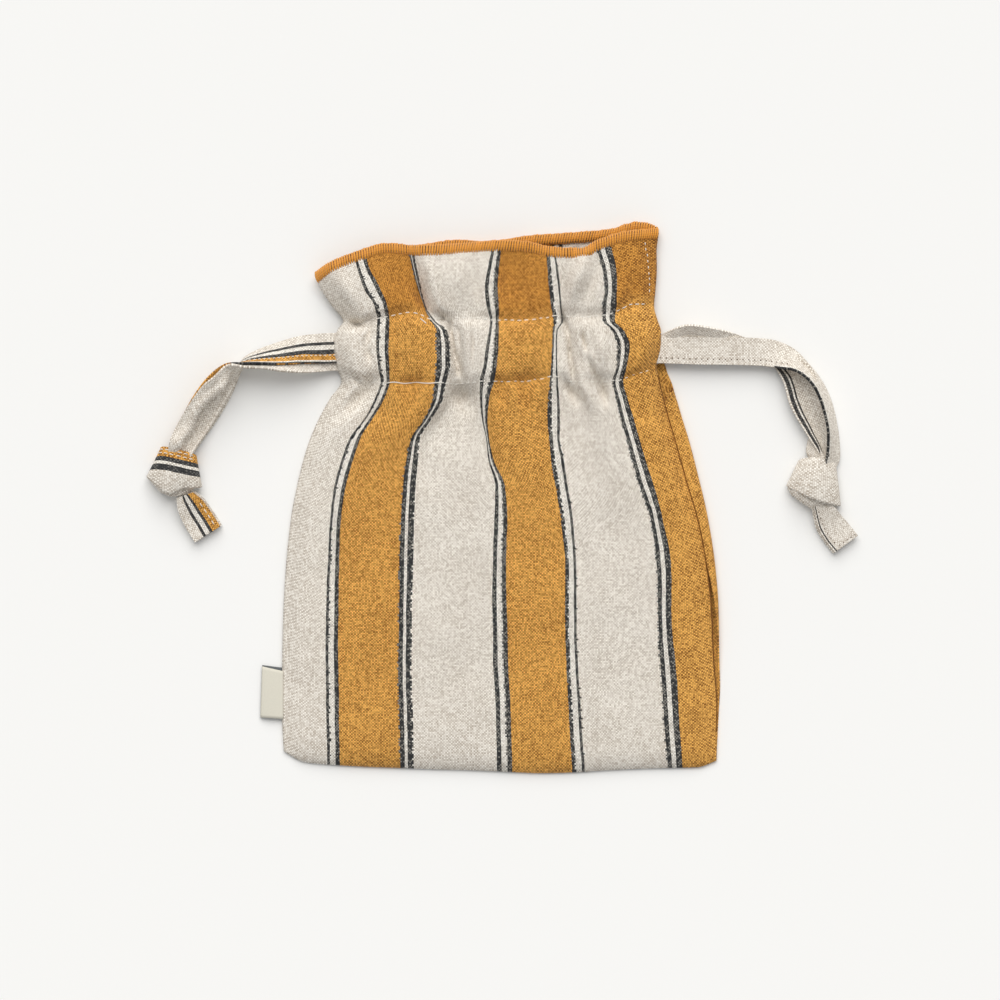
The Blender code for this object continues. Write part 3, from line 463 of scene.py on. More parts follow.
# Colours, as linear light: each yarn has a deep tone and a light one. On the cloths the blend
# between them is the yarn's own uneven tone, and painted shade between the threads with painted
# light on their crowns
NATURAL = ((0.44, 0.37, 0.295), (1.0, 0.955, 0.87))
MUSTARD = ((0.125, 0.032, 0.002), (1.0, 0.53, 0.125))
WHITE = ((0.42, 0.375, 0.32), (1.0, 0.965, 0.885))
BLACK = ((0.008, 0.008, 0.009), (0.075, 0.076, 0.076))
# painted shadow in the ditch of the side seam
SEAM_SHADOW = (0.20, 0.075, 0.012)
FLECK = (0.62, 0.58, 0.50)
FRILL_TINT = (0.80, 0.70, 0.56)
OVERLOCK = (0.86, 0.36, 0.036)
# painted shade on the overlock's core, which shows in the gaps between its threads
OVERLOCK_GAP_SHADE = (0.10, 0.03, 0.004)
STITCH = (0.90, 0.86, 0.78)
# painted shade in the needle's holes on the right tie
HOLE_SHADE = (0.20, 0.13, 0.09)
LABEL_CREAM = (0.71, 0.68, 0.58)
LABEL_GREY = (0.11, 0.12, 0.125)
FLOOR = (0.93, 0.93, 0.915)

# Light: the soft sun's width across and height above the floor in degrees, and both strengths
SUN_WIDTH = 62.0
SUN_HEIGHT = 47.0
SUN_STRENGTH = 2.55
SURROUND = 0.42

# Stripes of the tapes: where each yarn starts, from one edge of the flat tape
UNDYED = ((0.0, NATURAL),)
LEFT_STRIPES = (
    (0.0, MUSTARD), (1.2, BLACK), (1.7, WHITE), (2.3, MUSTARD),
    (4.8, BLACK), (6.6, WHITE), (8.4, BLACK), (9.6, NATURAL),
)
LEFT_TAIL_STRIPES = ((0.0, MUSTARD), (3.6, BLACK), (4.8, WHITE), (6.6, BLACK), (7.8, NATURAL))
LEFT_WRAP_STRIPES = ((0.0, MUSTARD), (3.6, BLACK), (5.4, WHITE), (6.6, BLACK), (9.0, NATURAL))
RIGHT_FRONT_STRIPES = ((0.0, BLACK), (0.8, WHITE), (1.2, NATURAL))
RIGHT_BACK_STRIPES = ((0.0, NATURAL), (0.6, BLACK), (1.8, WHITE), (2.4, BLACK), (3.0, NATURAL))
RIGHT_TAIL_STRIPES = ((0.0, NATURAL), (0.7, BLACK), (1.35, NATURAL))
LEFT_TAPE_WIDTH = 12.0
RIGHT_TAPE_WIDTH = 11.0
NECK_TAPE_WIDTH = 7.0

# Half the step between two tapes that lie on each other, and half their whole stack
HALF_STEP = STRAND_STEP / 2
HALF_STACK = TAPE / 2 + STRAND_STEP / 2

# Sideways move of a tape's stripes before the place where it has turned over
LEFT_SHIFT = 1.2
RIGHT_SHIFT = 1.6

# Stripe groups across the flat cloths, and the width of their black lines
FRONT_GROUPS = tuple((WARP_U[k], WARP_U[k + 1]) for k in (1, 3, 5, 7, 9))
BACK_GROUPS = ((25.2, 30.8), (54.4, 60.0), (93.6, 99.2), (122.4, 128.0), (155.4, 161.0))
BLACK_LINE = 1.75

# Weave: scales of its noises for each millimetre, or for each thread, and by how many threads
# the warp and the weft wander and tremble
WANDER_SCALE = 0.045
WANDER = (1.6, -3.0)
TREMBLE_SCALE = (0.35, 0.22)
TREMBLE = (0.7, 0.6)
TREMBLE_SEED = 4.0
SLUB_SCALE = 0.10
SLUB_THREAD_SCALE = 7.3
MOTTLE_SCALE = 0.06

# Shares in the lightness of the cloth, where the threads' round is painted light on their
# crowns and painted shade between them, and the unevenness of a stripe's border in threads
CROWN_PAINTED_LIGHT = 0.62
WEFT_LIGHT = 0.44
OWN_LIGHT = 0.60
SLUB_LIGHT = 0.54
MOTTLE_LIGHT = 0.26
BASE_LIGHT = -0.05
BORDER = 0.33
BORDER_RAGGED = 0.34

# How much of the undyed weft shows in black on the cloths and on the tapes, and how fast the
# mustard darkens in the frill, for each millimetre
CLOTH_FLECKS = 0.36
TAPE_FLECKS = 0.12
FRILL_ONSET = 0.2

# Turns of a thread's ply in two millimetres, and the pitch of the label's ribbon
PLY_TWIST = 2.2
RIBBON_PITCH = 0.28

# Stitches: how far they lie above a cloth's or a tape's face, their radius, their length with the
# gap after it and the spread of both, and the warp beside the side seam that is sewn in the frill
THREAD_LIFT = 0.08
TAPE_THREAD_LIFT = 0.06
NECK_THREAD = 0.22
TAPE_THREAD = 0.2
NECK_DASH = (2.3, 0.6)
SEAM_DASH = (1.3, 1.1)
HOLE_DASH = (0.35, 1.9)
LENGTH_SPREAD = (0.85, 1.12)
GAP_SPREAD = (0.8, 1.3)
DASH_DRIFT = 0.10
TAPE_SPREAD = (0.9, 1.1)
SEAM_WARP = ((UPPER_STITCH, RIM_COURSE), (171.2, 169.0))

# Long thread of the lower line, from one thread of the cloth to another, and cut ends by the
# upper line
LONG_THREAD = (20.5, 50.0)
LOOSE_ENDS = (
    # from u, course, to u, course
    (39.0, 68.6, 41.4, 67.2),
    (54.4, 70.2, 56.8, 70.9),
    (54.8, 71.0, 57.4, 70.2),
)

# Overlocked edge: spacing and inset of its padded core, and spacing, slant, reach over the edge and
# radius of the threads round it, with their spreads
CORE_SPAN = 1.1
CORE_SIDES = 12
CORE_INSET = (0.25, 0.22)
WRAP_SPAN = 1.04
WRAP_STOPS = 15
WRAP_SLANT = (0.62, 0.07)
WRAP_REACH = (EDGING_HEIGHT / 2 + 0.04, 0.1)
WRAP_DEPTH = (EDGING_HALF, 0.03)
WRAP_RADIUS = 0.26
WRAP_SPREAD = (0.9, 1.12)

# Fold of the left tie's plain strand past its turn, in shares of its length and width: where it
# begins and ends, the border of its ridge, and how deep ridge, crown and lip are
FOLD_BEGINS = (0.5, 0.62)
FOLD_ENDS = (0.9, 0.99)
FOLD_BORDER = 0.47
FOLD_SWAY = 0.07
FOLD_WAVE = (0.56, 0.23)
FOLD_EDGE = (-0.035, 0.045)
FOLD_CROWN = (0.14, 0.12)
FOLD_LIP = 0.86
FOLD_DEPTHS = (5.0, 1.2, 1.0)

# Trough of the right tie's inner strand past its corner: where it begins, how wide its two sides
# are and how high they rise
TROUGH_BEGINS = (0.52, 0.62)
TROUGH_SIDES = (0.45, 0.55)
TROUGH_RISES = (2.6, 3.4)

# Knots' cores: how round they are from above and from the side, and the height of their belly.
# A band over a knot has this length in its texture.
CORE_ROUND = (0.62, 0.8)
CORE_BELLY = 0.44
CORE_DOME = 0.56 * 0.9
BAND_LENGTH = 26.0

# Softness of folds: how far creases fade in from the seams and the hem, how deep their ends stay,
# and how the long waves bend
SEAM_FADE = 7.0
HEM_FADE = 10.0
CREASE_END = 0.35
WAVE_BEND = 0.6
WAVE_BEND_RATE = 0.05

# Small distances: between the surface and the cloth on it, and for taking directions
SURFACE_GAP = 0.02
FRAME_STEP = 0.2

# Courses where the cloth ends inside its edging, and at the edging's middle
CLOTH_TOP = RIM_COURSE - EDGING_HEIGHT * 0.4
EDGING_COURSE = RIM_COURSE - EDGING_HEIGHT / 2


# Camera and light

def build_camera():
    """Long lens straight above, framed as the photograph is."""
    distance = 3.0
    sensor = 36.0
    data = bpy.data.cameras.new("camera")
    data.sensor_width = sensor
    data.lens = sensor * distance / (PICTURE_SIDE * PIXEL * MM)
    data.clip_end = 20.0
    camera = bpy.data.objects.new("camera", data)
    camera.location = (PICTURE_CENTRE[0] * MM, PICTURE_CENTRE[1] * MM, distance)
    bpy.context.scene.collection.objects.link(camera)
    bpy.context.scene.camera = camera


def build_light():
    """One wide soft light from beyond the mouth of the pouch, and an even pale surround."""
    data = bpy.data.lights.new("window", "SUN")
    data.angle = math.radians(SUN_WIDTH)
    data.energy = SUN_STRENGTH
    data.color = (1.0, 0.985, 0.965)
    window = bpy.data.objects.new("window", data)
    window.rotation_euler = (math.radians(SUN_HEIGHT - 90.0), 0.0, 0.0)
    window.location = (0.0, 0.6, 0.6)
    bpy.context.scene.collection.objects.link(window)
    world = bpy.data.worlds.new("surround")
    world.use_nodes = True
    background = world.node_tree.nodes["Background"]
    background.inputs["Color"].default_value = (0.985, 0.99, 1.0, 1.0)
    background.inputs["Strength"].default_value = SURROUND
    bpy.context.scene.world = world
    bpy.context.scene.view_settings.view_transform = "Standard"


def build_floor():
    """Plain pale surface that the pouch lies on."""
    bpy.ops.mesh.primitive_plane_add(size=6.0, location=(0.0, 0.0, 0.0))
    floor = bpy.context.object
    floor.name = "floor"
    paper = Nodes("pale_paper")
    paper.surface((*FLOOR, 1.0), roughness=0.9, specular=0.1, sheen=0.0)
    floor.data.materials.append(paper.material)


# Curves through tables

def hermite(t):
    """Shares of a cubic piece's start, its end, its leaving slope and its arriving slope at t."""
    return 2 * t**3 - 3 * t**2 + 1, 3 * t**2 - 2 * t**3, t**3 - 2 * t**2 + t, t**3 - t**2


def monotone(knots, values, where):
    """Smooth curve through the values at the knots that never overshoots them.

    values holds one column for all places, or one column for each place.
    """
    knots = np.asarray(knots, dtype=float)
    values = np.asarray(values, dtype=float).reshape(len(knots), -1)
    where = np.clip(where, knots[0], knots[-1])
    slopes = np.diff(values, axis=0) / np.diff(knots)[:, None]
    before, after = slopes[:-1], slopes[1:]
    same = before * after > 0
    total = np.where(same, before + after, 1.0)
    inner = np.where(same, 2.0 * before * after / total, 0.0)
    tangents = np.vstack((slopes[:1], inner, slopes[-1:]))
    index = np.clip(np.searchsorted(knots, where, side="right") - 1, 0, len(knots) - 2)
    column = np.arange(len(where)) if values.shape[1] > 1 else 0
    width = knots[index + 1] - knots[index]
    start, end, leave, arrive = hermite((where - knots[index]) / width)
    return (
        start * values[index, column]
        + end * values[index + 1, column]
        + leave * width * tangents[index, column]
        + arrive * width * tangents[index + 1, column]
    )


def table_lines(table, where):
    """Value of every column of a table, after its first, at each place in its first column."""
    rows = np.asarray(table, dtype=float)
    return np.stack([monotone(rows[:, 0], rows[:, k], where) for k in range(1, rows.shape[1])])


def flowing(values, where):
    """Smooth curve through equally spaced rows of values, for routes."""
    values = np.asarray(values, dtype=float)
    last = len(values) - 1
    place = np.clip(where, 0.0, 1.0) * last
    index = np.clip(np.floor(place).astype(int), 0, last - 1)
    here, there = values[index], values[index + 1]
    slope_here = 0.5 * (there - values[np.clip(index - 1, 0, last)])
    slope_there = 0.5 * (values[np.clip(index + 2, 0, last)] - here)
    start, end, leave, arrive = hermite((place - index)[:, None])
    return start * here + end * there + leave * slope_here + arrive * slope_there


def smooth_step(value, low, high):
    t = np.clip((value - low) / (high - low), 0.0, 1.0)
    return t * t * (3 - 2 * t)


def unit(vectors):
    return vectors / np.maximum(np.linalg.norm(vectors, axis=-1, keepdims=True), 1e-12)


def distances(line):
    """Distance along a line of places from its start to each of them."""
    return np.concatenate(((0.0,), np.cumsum(np.linalg.norm(np.diff(line, axis=0), axis=1))))


# Where the cloths lie

def crease_height(x, y):
    """Height that creases and waves add at places on the front cloth."""
    height = np.zeros_like(x)
    for x0, y0, x1, y1, depth, half in CREASES:
        run_x, run_y = x1 - x0, y1 - y0
        along = ((x - x0) * run_x + (y - y0) * run_y) / np.hypot(run_x, run_y) ** 2
        nearest = np.clip(along, 0.0, 1.0)
        off = np.hypot(x - x0 - nearest * run_x, y - y0 - nearest * run_y)
        ends = CREASE_END + (1 - CREASE_END) * np.sin(math.pi * nearest)
        height += depth * ends * np.exp(-((off / half) ** 2))
    bend = WAVE_BEND * np.sin(WAVE_BEND_RATE * (x - y))
    for wavelength, heading, amount, phase in WAVES:
        angle = math.radians(heading)
        place = (x * math.cos(angle) + y * math.sin(angle)) / wavelength
        height += amount * np.sin(2 * math.pi * place + phase + bend)
    return height


def front_point(u, course):
    """Where a thread crossing of the front cloth lies."""
    reach = table_lines(SEWN_COURSES, course)
    y = monotone(STATION_U, reach, u)
    x = monotone(WARP_U, table_lines(WARP_LINES, y), u)
    z = monotone(STATION_U, table_lines(RELIEF, course), u)
    inside = np.clip(np.minimum(u, CLOTH_WIDTH - u) / SEAM_FADE, 0.0, 1.0)
    inside *= np.clip((course - HEM_COURSE) / HEM_FADE, 0.0, 1.0)
    z = z + crease_height(x, y) * inside
    return np.stack((x, y, z), axis=1)


def across_back(fraction, length=CLOTH_WIDTH):
    """Distance from the left seam over the back cloth, of which the roll takes a fixed length."""
    flat = (length - ROLLED_LENGTH) * np.clip(fraction / FLAT_SHARE, 0.0, 1.0)
    return flat + ROLLED_LENGTH * np.clip((fraction - FLAT_SHARE) / (1 - FLAT_SHARE), 0.0, 1.0)


def back_point(fraction, course):
    """Where the back cloth lies: flat on the surface, with its right edge rolled over."""
    hem_y = monotone(STATION_U, SEWN_COURSES[0][1:], across_back(fraction)) + HEM_BEHIND
    rim_y = table_lines(BACK_RIM, fraction)[0]
    y = hem_y + (rim_y - hem_y) * (course - HEM_COURSE) / (RIM_COURSE - HEM_COURSE)
    lines = table_lines(WARP_LINES, y)
    left, seam = lines[0], lines[-1]
    width, rise = table_lines(RIGHT_ROLL, y)
    turned = np.arccos(np.clip(1.0 - rise / CURL_RADIUS, -1.0, 1.0))
    reach = np.where(turned < math.pi / 2, CURL_RADIUS * np.sin(turned), CURL_RADIUS)
    arc = CURL_RADIUS * turned
    tongue = np.maximum(width - reach, 0.0) * np.maximum(-np.cos(turned), 0.0)
    flat = seam + width - reach - left
    along = across_back(fraction, flat + arc + tongue)
    angle = np.clip(along - flat, 0.0, arc) / CURL_RADIUS
    past = np.maximum(along - flat - arc, 0.0)
    x = left + np.minimum(along, flat) + CURL_RADIUS * np.sin(angle) + past * np.cos(turned)
    lift_left, lift_right = table_lines(BACK_LIFT, y)
    from_left = np.clip(1.0 - (x - left) / CORNER_FADE, 0.0, 1.0)
    from_right = np.clip(1.0 - (seam + width - x) / CORNER_FADE, 0.0, 1.0)
    lift = lift_left * from_left**2 + lift_right * from_right**2
    rolled = CURL_RADIUS * (1 - np.cos(angle)) + past * np.sin(turned)
    return np.stack((x, y, CLOTH / 2 + SURFACE_GAP + rolled + lift), axis=1)


def frame_on(place, across, along):
    """Places, unit directions across and along, and outward normals of a cloth at its stops."""
    at = place(across, along)
    right = unit(place(across + FRAME_STEP, along) - place(across - FRAME_STEP, along))
    up = unit(place(across, along + FRAME_STEP) - place(across, along - FRAME_STEP))
    return at, right, up, unit(np.cross(right, up))


# Making meshes

def keep(piece, material, node=None):
    """Give a piece its material, ride it on the part and hide the CAD part of the node that it
    stands for.
    """
    piece.data.materials.clear()
    piece.data.materials.append(material)
    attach(piece, "root")
    if node:
        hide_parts(node)
    return piece


def lay_texture(mesh, texture):
    """Give a mesh the cloth coordinates of its places, which are in millimetres."""
    corners = np.empty(len(mesh.loops), dtype=np.int32)
    mesh.loops.foreach_get("vertex_index", corners)
    layer = mesh.uv_layers.new(name="cloth")
    layer.uv.foreach_set("vector", (texture[corners] * MM).ravel())
    mesh.update()
    mesh.shade_smooth()


def mesh_object(name, places, faces, texture):
    """Object from places and cloth coordinates, both in millimetres."""
    mesh = bpy.data.meshes.new(name)
    mesh.from_pydata((places * MM).tolist(), [], faces)
    lay_texture(mesh, texture)
    piece = bpy.data.objects.new(name, mesh)
    bpy.context.scene.collection.objects.link(piece)
    return piece


def grid_faces(rows, columns, closed=False, turned=False):
    """Quads of a grid of places, row after row."""
    row = np.arange(rows - 1)[:, None]
    column = np.arange(columns if closed else columns - 1)[None, :]
    first = row * columns + column
    second = row * columns + (column + 1) % columns
    quads = np.stack((first, second, second + columns, first + columns), axis=-1).reshape(-1, 4)
    return (quads[:, ::-1] if turned else quads).tolist()


def tube_faces(rings, sides, start=0, turned=False):
    """Faces of a capped tube of rings, whose places are numbered from start."""
    last = (rings - 1) * sides
    faces = grid_faces(rings, sides, closed=True)
    faces += [list(range(sides))[::-1], list(range(last, last + sides))]
    step = -1 if turned else 1
    return [[start + place for place in face[::step]] for face in faces]


def thicken(piece, thickness):
    """Solidify a sheet about its middle layer, for good."""
    shell = piece.modifiers.new("thickness", "SOLIDIFY")
    shell.thickness = thickness * MM
    shell.offset = 0.0
    shell.use_quality_normals = True
    depsgraph = bpy.context.evaluated_depsgraph_get()
    thick = bpy.data.meshes.new_from_object(piece.evaluated_get(depsgraph))
    piece.modifiers.clear()
    old = piece.data
    piece.data = thick
    bpy.data.meshes.remove(old)
    thick.name = piece.name
    return piece


def tubes(name, paths, radii, sides=6):
    """Several capped tubes as one object. Each has one radius, or one at every place."""
    places, faces, texture = [], [], []
    angle = 2 * math.pi * np.arange(sides) / sides
    start = 0
    for path, radius in zip(paths, radii):
        count = len(path)
        radius = np.broadcast_to(radius, (count,))
        ahead = unit(np.gradient(path, axis=0))
        side = unit(np.cross(ahead, (0.0, 0.0, 1.0)) + 1e-6)
        over = np.cross(side, ahead)
        ring = (
            side[:, None, :] * np.cos(angle)[None, :, None]
            + over[:, None, :] * np.sin(angle)[None, :, None]
        )
        places.append((path[:, None, :] + ring * radius[:, None, None]).reshape(-1, 3))
        faces += tube_faces(count, sides, start, turned=True)
        around = np.tile(angle / (2 * math.pi), count)
        texture.append(np.stack((around, np.repeat(distances(path), sides)), axis=1))
        start += count * sides
    return mesh_object(name, np.concatenate(places), faces, np.concatenate(texture))


# Materials

class Number:
    """Output of a material's node, on which arithmetic makes further nodes."""

    def __init__(self, nodes, output):
        self.nodes = nodes
        self.output = output

    def __add__(self, other):
        return self.nodes.math("ADD", self, other)

    def __sub__(self, other):
        return self.nodes.math("SUBTRACT", self, other)

    def __mul__(self, other):
        return self.nodes.math("MULTIPLY", self, other)

    def __truediv__(self, other):
        return self.nodes.math("DIVIDE", self, other)


class Nodes:
    """Short hand for building a material's nodes."""

    def __init__(self, name):
        self.material = bpy.data.materials.new(name)
        self.material.use_nodes = True
        self.tree = self.material.node_tree
        self.shader = self.tree.nodes["Principled BSDF"]

    def put(self, socket, value):
        if isinstance(value, Number):
            self.tree.links.new(value.output, socket)
        else:
            socket.default_value = value

    def add(self, kind, inputs=(), output=0, **settings):
        """New node with its settings and its inputs, by name or number, and one of its outputs."""
        node = self.tree.nodes.new("ShaderNode" + kind)
        for key, value in settings.items():
            setattr(node, key, value)
        for key, value in dict(inputs).items():
            self.put(node.inputs[key], value)
        return Number(self, node.outputs[output])

    def math(self, kind, *values):
        return self.add("Math", enumerate(values), operation=kind)

    def clamped(self, value):
        return self.math("MINIMUM", self.math("MAXIMUM", value, 0.0), 1.0)

    def cloth_place(self):
        """Place in the flat cloth, across and along it, in millimetres."""
        place = self.add("UVMap", uv_map="cloth")
        return [self.add("SeparateXYZ", {0: place}, output) * 1000.0 for output in (0, 1)]

    def vector(self, x, y, z=0.0):
        return self.add("CombineXYZ", enumerate((x, y, z)))

    def noise(self, place, detail, scale=1.0):
        inputs = {"Vector": place, "Scale": scale, "Detail": detail}
        return self.add("TexNoise", inputs, "Fac")

    def tinted(self, colour, tint):
        return self.add("VectorMath", {0: colour, 1: tint}, operation="MULTIPLY")

    def blend(self, share, first, second):
        return self.add("Mix", {0: share, 6: first, 7: second}, 2, data_type="RGBA")

    def ramp(self, factor, stops):
        """Colour that changes at the stops, each a place and a colour."""
        node = self.tree.nodes.new("ShaderNodeValToRGB")
        ramp = node.color_ramp
        ramp.interpolation = "CONSTANT"
        ramp.elements.remove(ramp.elements[-1])
        ramp.elements[0].position = stops[0][0]
        ramp.elements[0].color = (*stops[0][1], 1.0)
        for position, colour in stops[1:]:
            ramp.elements.new(position).color = (*colour, 1.0)
        self.put(node.inputs[0], factor)
        return Number(self, node.outputs[0])

    def surface(self, colour, roughness, specular, sheen):
        self.put(self.shader.inputs["Base Color"], colour)
        self.shader.inputs["Roughness"].default_value = roughness
        self.shader.inputs["Specular IOR Level"].default_value = specular
        self.shader.inputs["Sheen Weight"].default_value = sheen

    def bump(self, height, strength, distance):
        inputs = {"Strength": strength, "Distance": distance * MM, "Height": height}
        self.put(self.shader.inputs["Normal"], self.add("Bump", inputs))


def stripe_stops(groups):
    """Stops of the striped cloth, from its left: place and yarn. Each group is black, white and
    black, and the ground changes between natural and mustard at it."""
    stops = [(0.0, NATURAL)]
    for number, (start, end) in enumerate(groups):
        stops += [(start, BLACK), (start + BLACK_LINE, WHITE), (end - BLACK_LINE, BLACK)]
        stops.append((end, (MUSTARD, NATURAL)[number % 2]))
    return stops


def linen(name, stops, width, seed=0.0, flecks=CLOTH_FLECKS,
          from_run=0.0, shift=0.0, deep_from=None):
    """Plain-woven linen. Each warp thread takes its yarn from the stops across a flat width.

    The stripes are moved sideways by shift before the place from_run along the cloth. Mustard
    is darkened by FRILL_TINT beyond the place deep_from, where one is given.
    """
    n = Nodes(name)
    u, v = n.cloth_place()

    # threads wander a little, so that the weave isn't a ruled grid
    wander = n.noise(n.vector(u * WANDER_SCALE, v * WANDER_SCALE, seed), 3.0) - 0.5
    fine = n.vector(u * TREMBLE_SCALE[0], v * TREMBLE_SCALE[1], seed + TREMBLE_SEED)
    tremble = n.noise(fine, 2.0) - 0.5
    warp = u / THREAD_PITCH + wander * WANDER[0] + tremble * TREMBLE[0]
    weft = v / THREAD_PITCH + wander * WANDER[1] + tremble * TREMBLE[1]
    warp_number = n.math("FLOOR", warp)
    weft_number = n.math("FLOOR", weft)
    warp_round = n.math("SINE", n.math("FRACT", warp) * math.pi)
    weft_round = n.math("SINE", n.math("FRACT", weft) * math.pi)
    height = n.math("POWER", warp_round * weft_round, 0.5)
    weft_up = n.math("FLOORED_MODULO", warp_number + weft_number, 2.0)

    # every crossing has its own lightness, and every thread its slubs
    crossing = {"Vector": n.vector(warp_number, weft_number)}
    own = n.add("TexWhiteNoise", crossing, "Value", noise_dimensions="2D")
    along_warp = n.vector(warp_number * SLUB_THREAD_SCALE, v * SLUB_SCALE, seed)
    along_weft = n.vector(u * SLUB_SCALE, weft_number * SLUB_THREAD_SCALE, seed)
    warp_slub = n.noise(along_warp, 2.0)
    weft_slub = n.noise(along_weft, 2.0)
    slub = n.math("MULTIPLY_ADD", weft_slub - warp_slub, weft_up, warp_slub)
    mottle = n.noise(n.vector(u * MOTTLE_SCALE, v * MOTTLE_SCALE, seed), 3.0)
    # the threads' round is painted light on their crowns and painted shade between them; the other
    # terms are the yarn's own uneven tone
    light = height * CROWN_PAINTED_LIGHT + weft_up * WEFT_LIGHT + (own - 0.5) * OWN_LIGHT
    light = light + (slub - 0.5) * SLUB_LIGHT + (mottle - 0.5) * MOTTLE_LIGHT + BASE_LIGHT

    # stripes change colour from thread to thread, with an uneven border
    shifted = warp_number + n.math("MULTIPLY_ADD", own, BORDER_RAGGED, BORDER)
    if shift:
        shifted = shifted + n.math("LESS_THAN", v, from_run) * (shift / THREAD_PITCH)
    where = shifted * THREAD_PITCH / width

    def striped(colour_of):
        return n.ramp(where, [(place / width, colour_of(yarn)) for place, yarn in stops])

    deep = striped(lambda yarn: yarn[0])
    pale = striped(lambda yarn: yarn[1])
    colour = n.blend(n.clamped(light), deep, pale)

    # the undyed weft shows in the black stripes
    dyed = striped(lambda yarn: (float(yarn is BLACK),) * 3)
    fleck = n.math("GREATER_THAN", own, 0.5) * weft_up * dyed
    colour = n.blend(fleck * flecks, colour, (*FLECK, 1.0))
    if deep_from is not None:
        ground = striped(lambda yarn: (float(yarn is MUSTARD),) * 3)
        beyond = n.clamped((v - deep_from) * FRILL_ONSET)
        colour = n.blend(beyond * ground, colour, n.tinted(colour, FRILL_TINT))
    n.surface(colour, roughness=0.9, specular=0.2, sheen=0.08)
    n.bump(n.math("MULTIPLY_ADD", own, 0.35, height), 0.55, 0.14)
    return n.material


def thread_material(name, colour, deep_share, roughness=0.62, sheen=0.25):
    """Twisted sewing thread: ply lines wind round each tube, and painted shade between them
    darkens it by a share.
    """
    n = Nodes(name)
    around, run = n.cloth_place()
    phase = around * (2 * math.pi) + run * (PLY_TWIST * math.pi)
    # the grooves between the plies get painted shade, and random mottle also darkens the thread
    ply = n.math("MULTIPLY_ADD", n.math("SINE", phase), 0.5, 0.5)
    mottle = n.noise(n.add("NewGeometry", output="Position"), 2.0, scale=900.0)
    share = n.math("MULTIPLY_ADD", ply, 0.45, mottle * 0.75)
    deep = tuple(c * deep_share for c in colour)
    n.surface(n.blend(share, (*deep, 1.0), (*colour, 1.0)), roughness, 0.35, sheen)
    n.bump(ply, 0.5, 0.06)
    return n.material


def label_material(name, colour):
    """Fine, smooth woven ribbon, with painted light on its ribs and painted shade between them."""
    n = Nodes(name)
    u, v = n.cloth_place()
    cross, rib = (
        n.math("ABSOLUTE", n.math("SINE", place * (math.pi / RIBBON_PITCH))) for place in (u, v)
    )
    weave = rib * 0.6 + cross * 0.4
    mottle = n.noise(n.vector(u, v), 3.0, scale=1.4)
    # ribs painted lighter and the gaps between them painted darker, with random mottle
    light = n.math("MULTIPLY_ADD", weave, 0.12, n.math("MULTIPLY_ADD", mottle, 0.12, 0.86))
    n.surface(n.tinted(colour, light), roughness=0.7, specular=0.3, sheen=0.1)
    n.bump(weave, 0.35, 0.08)
    return n.material


# Panels

def build_cloth(name, node, material, across, along, place, flat_place):
    """Panel on a grid of stops. place bends it, and flat_place is a stop's place in the cut."""
    a = np.tile(across, len(along))
    b = np.repeat(along, len(across))
    texture = np.stack((flat_place(a), b - HEM_COURSE), axis=1)
    piece = mesh_object(name, place(a, b), grid_faces(len(along), len(across)), texture)
    return keep(thicken(piece, CLOTH), material, node)


def build_front(material):
    across = np.linspace(0.0, CLOTH_WIDTH, int(CLOTH_WIDTH / CLOTH_STEP) + 1)
    along = np.linspace(HEM_COURSE, CLOTH_TOP, int((CLOTH_TOP - HEM_COURSE) / CLOTH_STEP) + 1)
    same = lambda u: u
    return build_cloth("front_cloth", "front_panel", material, across, along, front_point, same)


def build_back(material):
    rolled = np.linspace(FLAT_SHARE, 1.0, 28)[1:]
    across = np.concatenate((np.linspace(0.0, FLAT_SHARE, 96), rolled))
    along = np.linspace(HEM_COURSE, CLOTH_TOP, 150)
    return build_cloth("back_cloth", "back_panel", material, across, along, back_point, across_back)


def rim_frames(place, ends, scale, span):
    """Frames at even distances along a cloth's edging, and those distances. One millimetre is
    about the given scale in the cloth's coordinate across."""
    fine = np.linspace(*ends, 900)
    run = distances(place(fine, np.full_like(fine, EDGING_COURSE)))
    distance = (np.arange(int(run[-1] / span)) + 0.5) * span
    stops = np.interp(distance, run, fine)
    scaled = lambda a, b: place(a * scale, b)
    at, right, up, out = frame_on(scaled, stops / scale, np.full_like(stops, EDGING_COURSE))
    at[:, 2] = np.maximum(at[:, 2], EDGING_REST)
    return at, right, up, out, distance


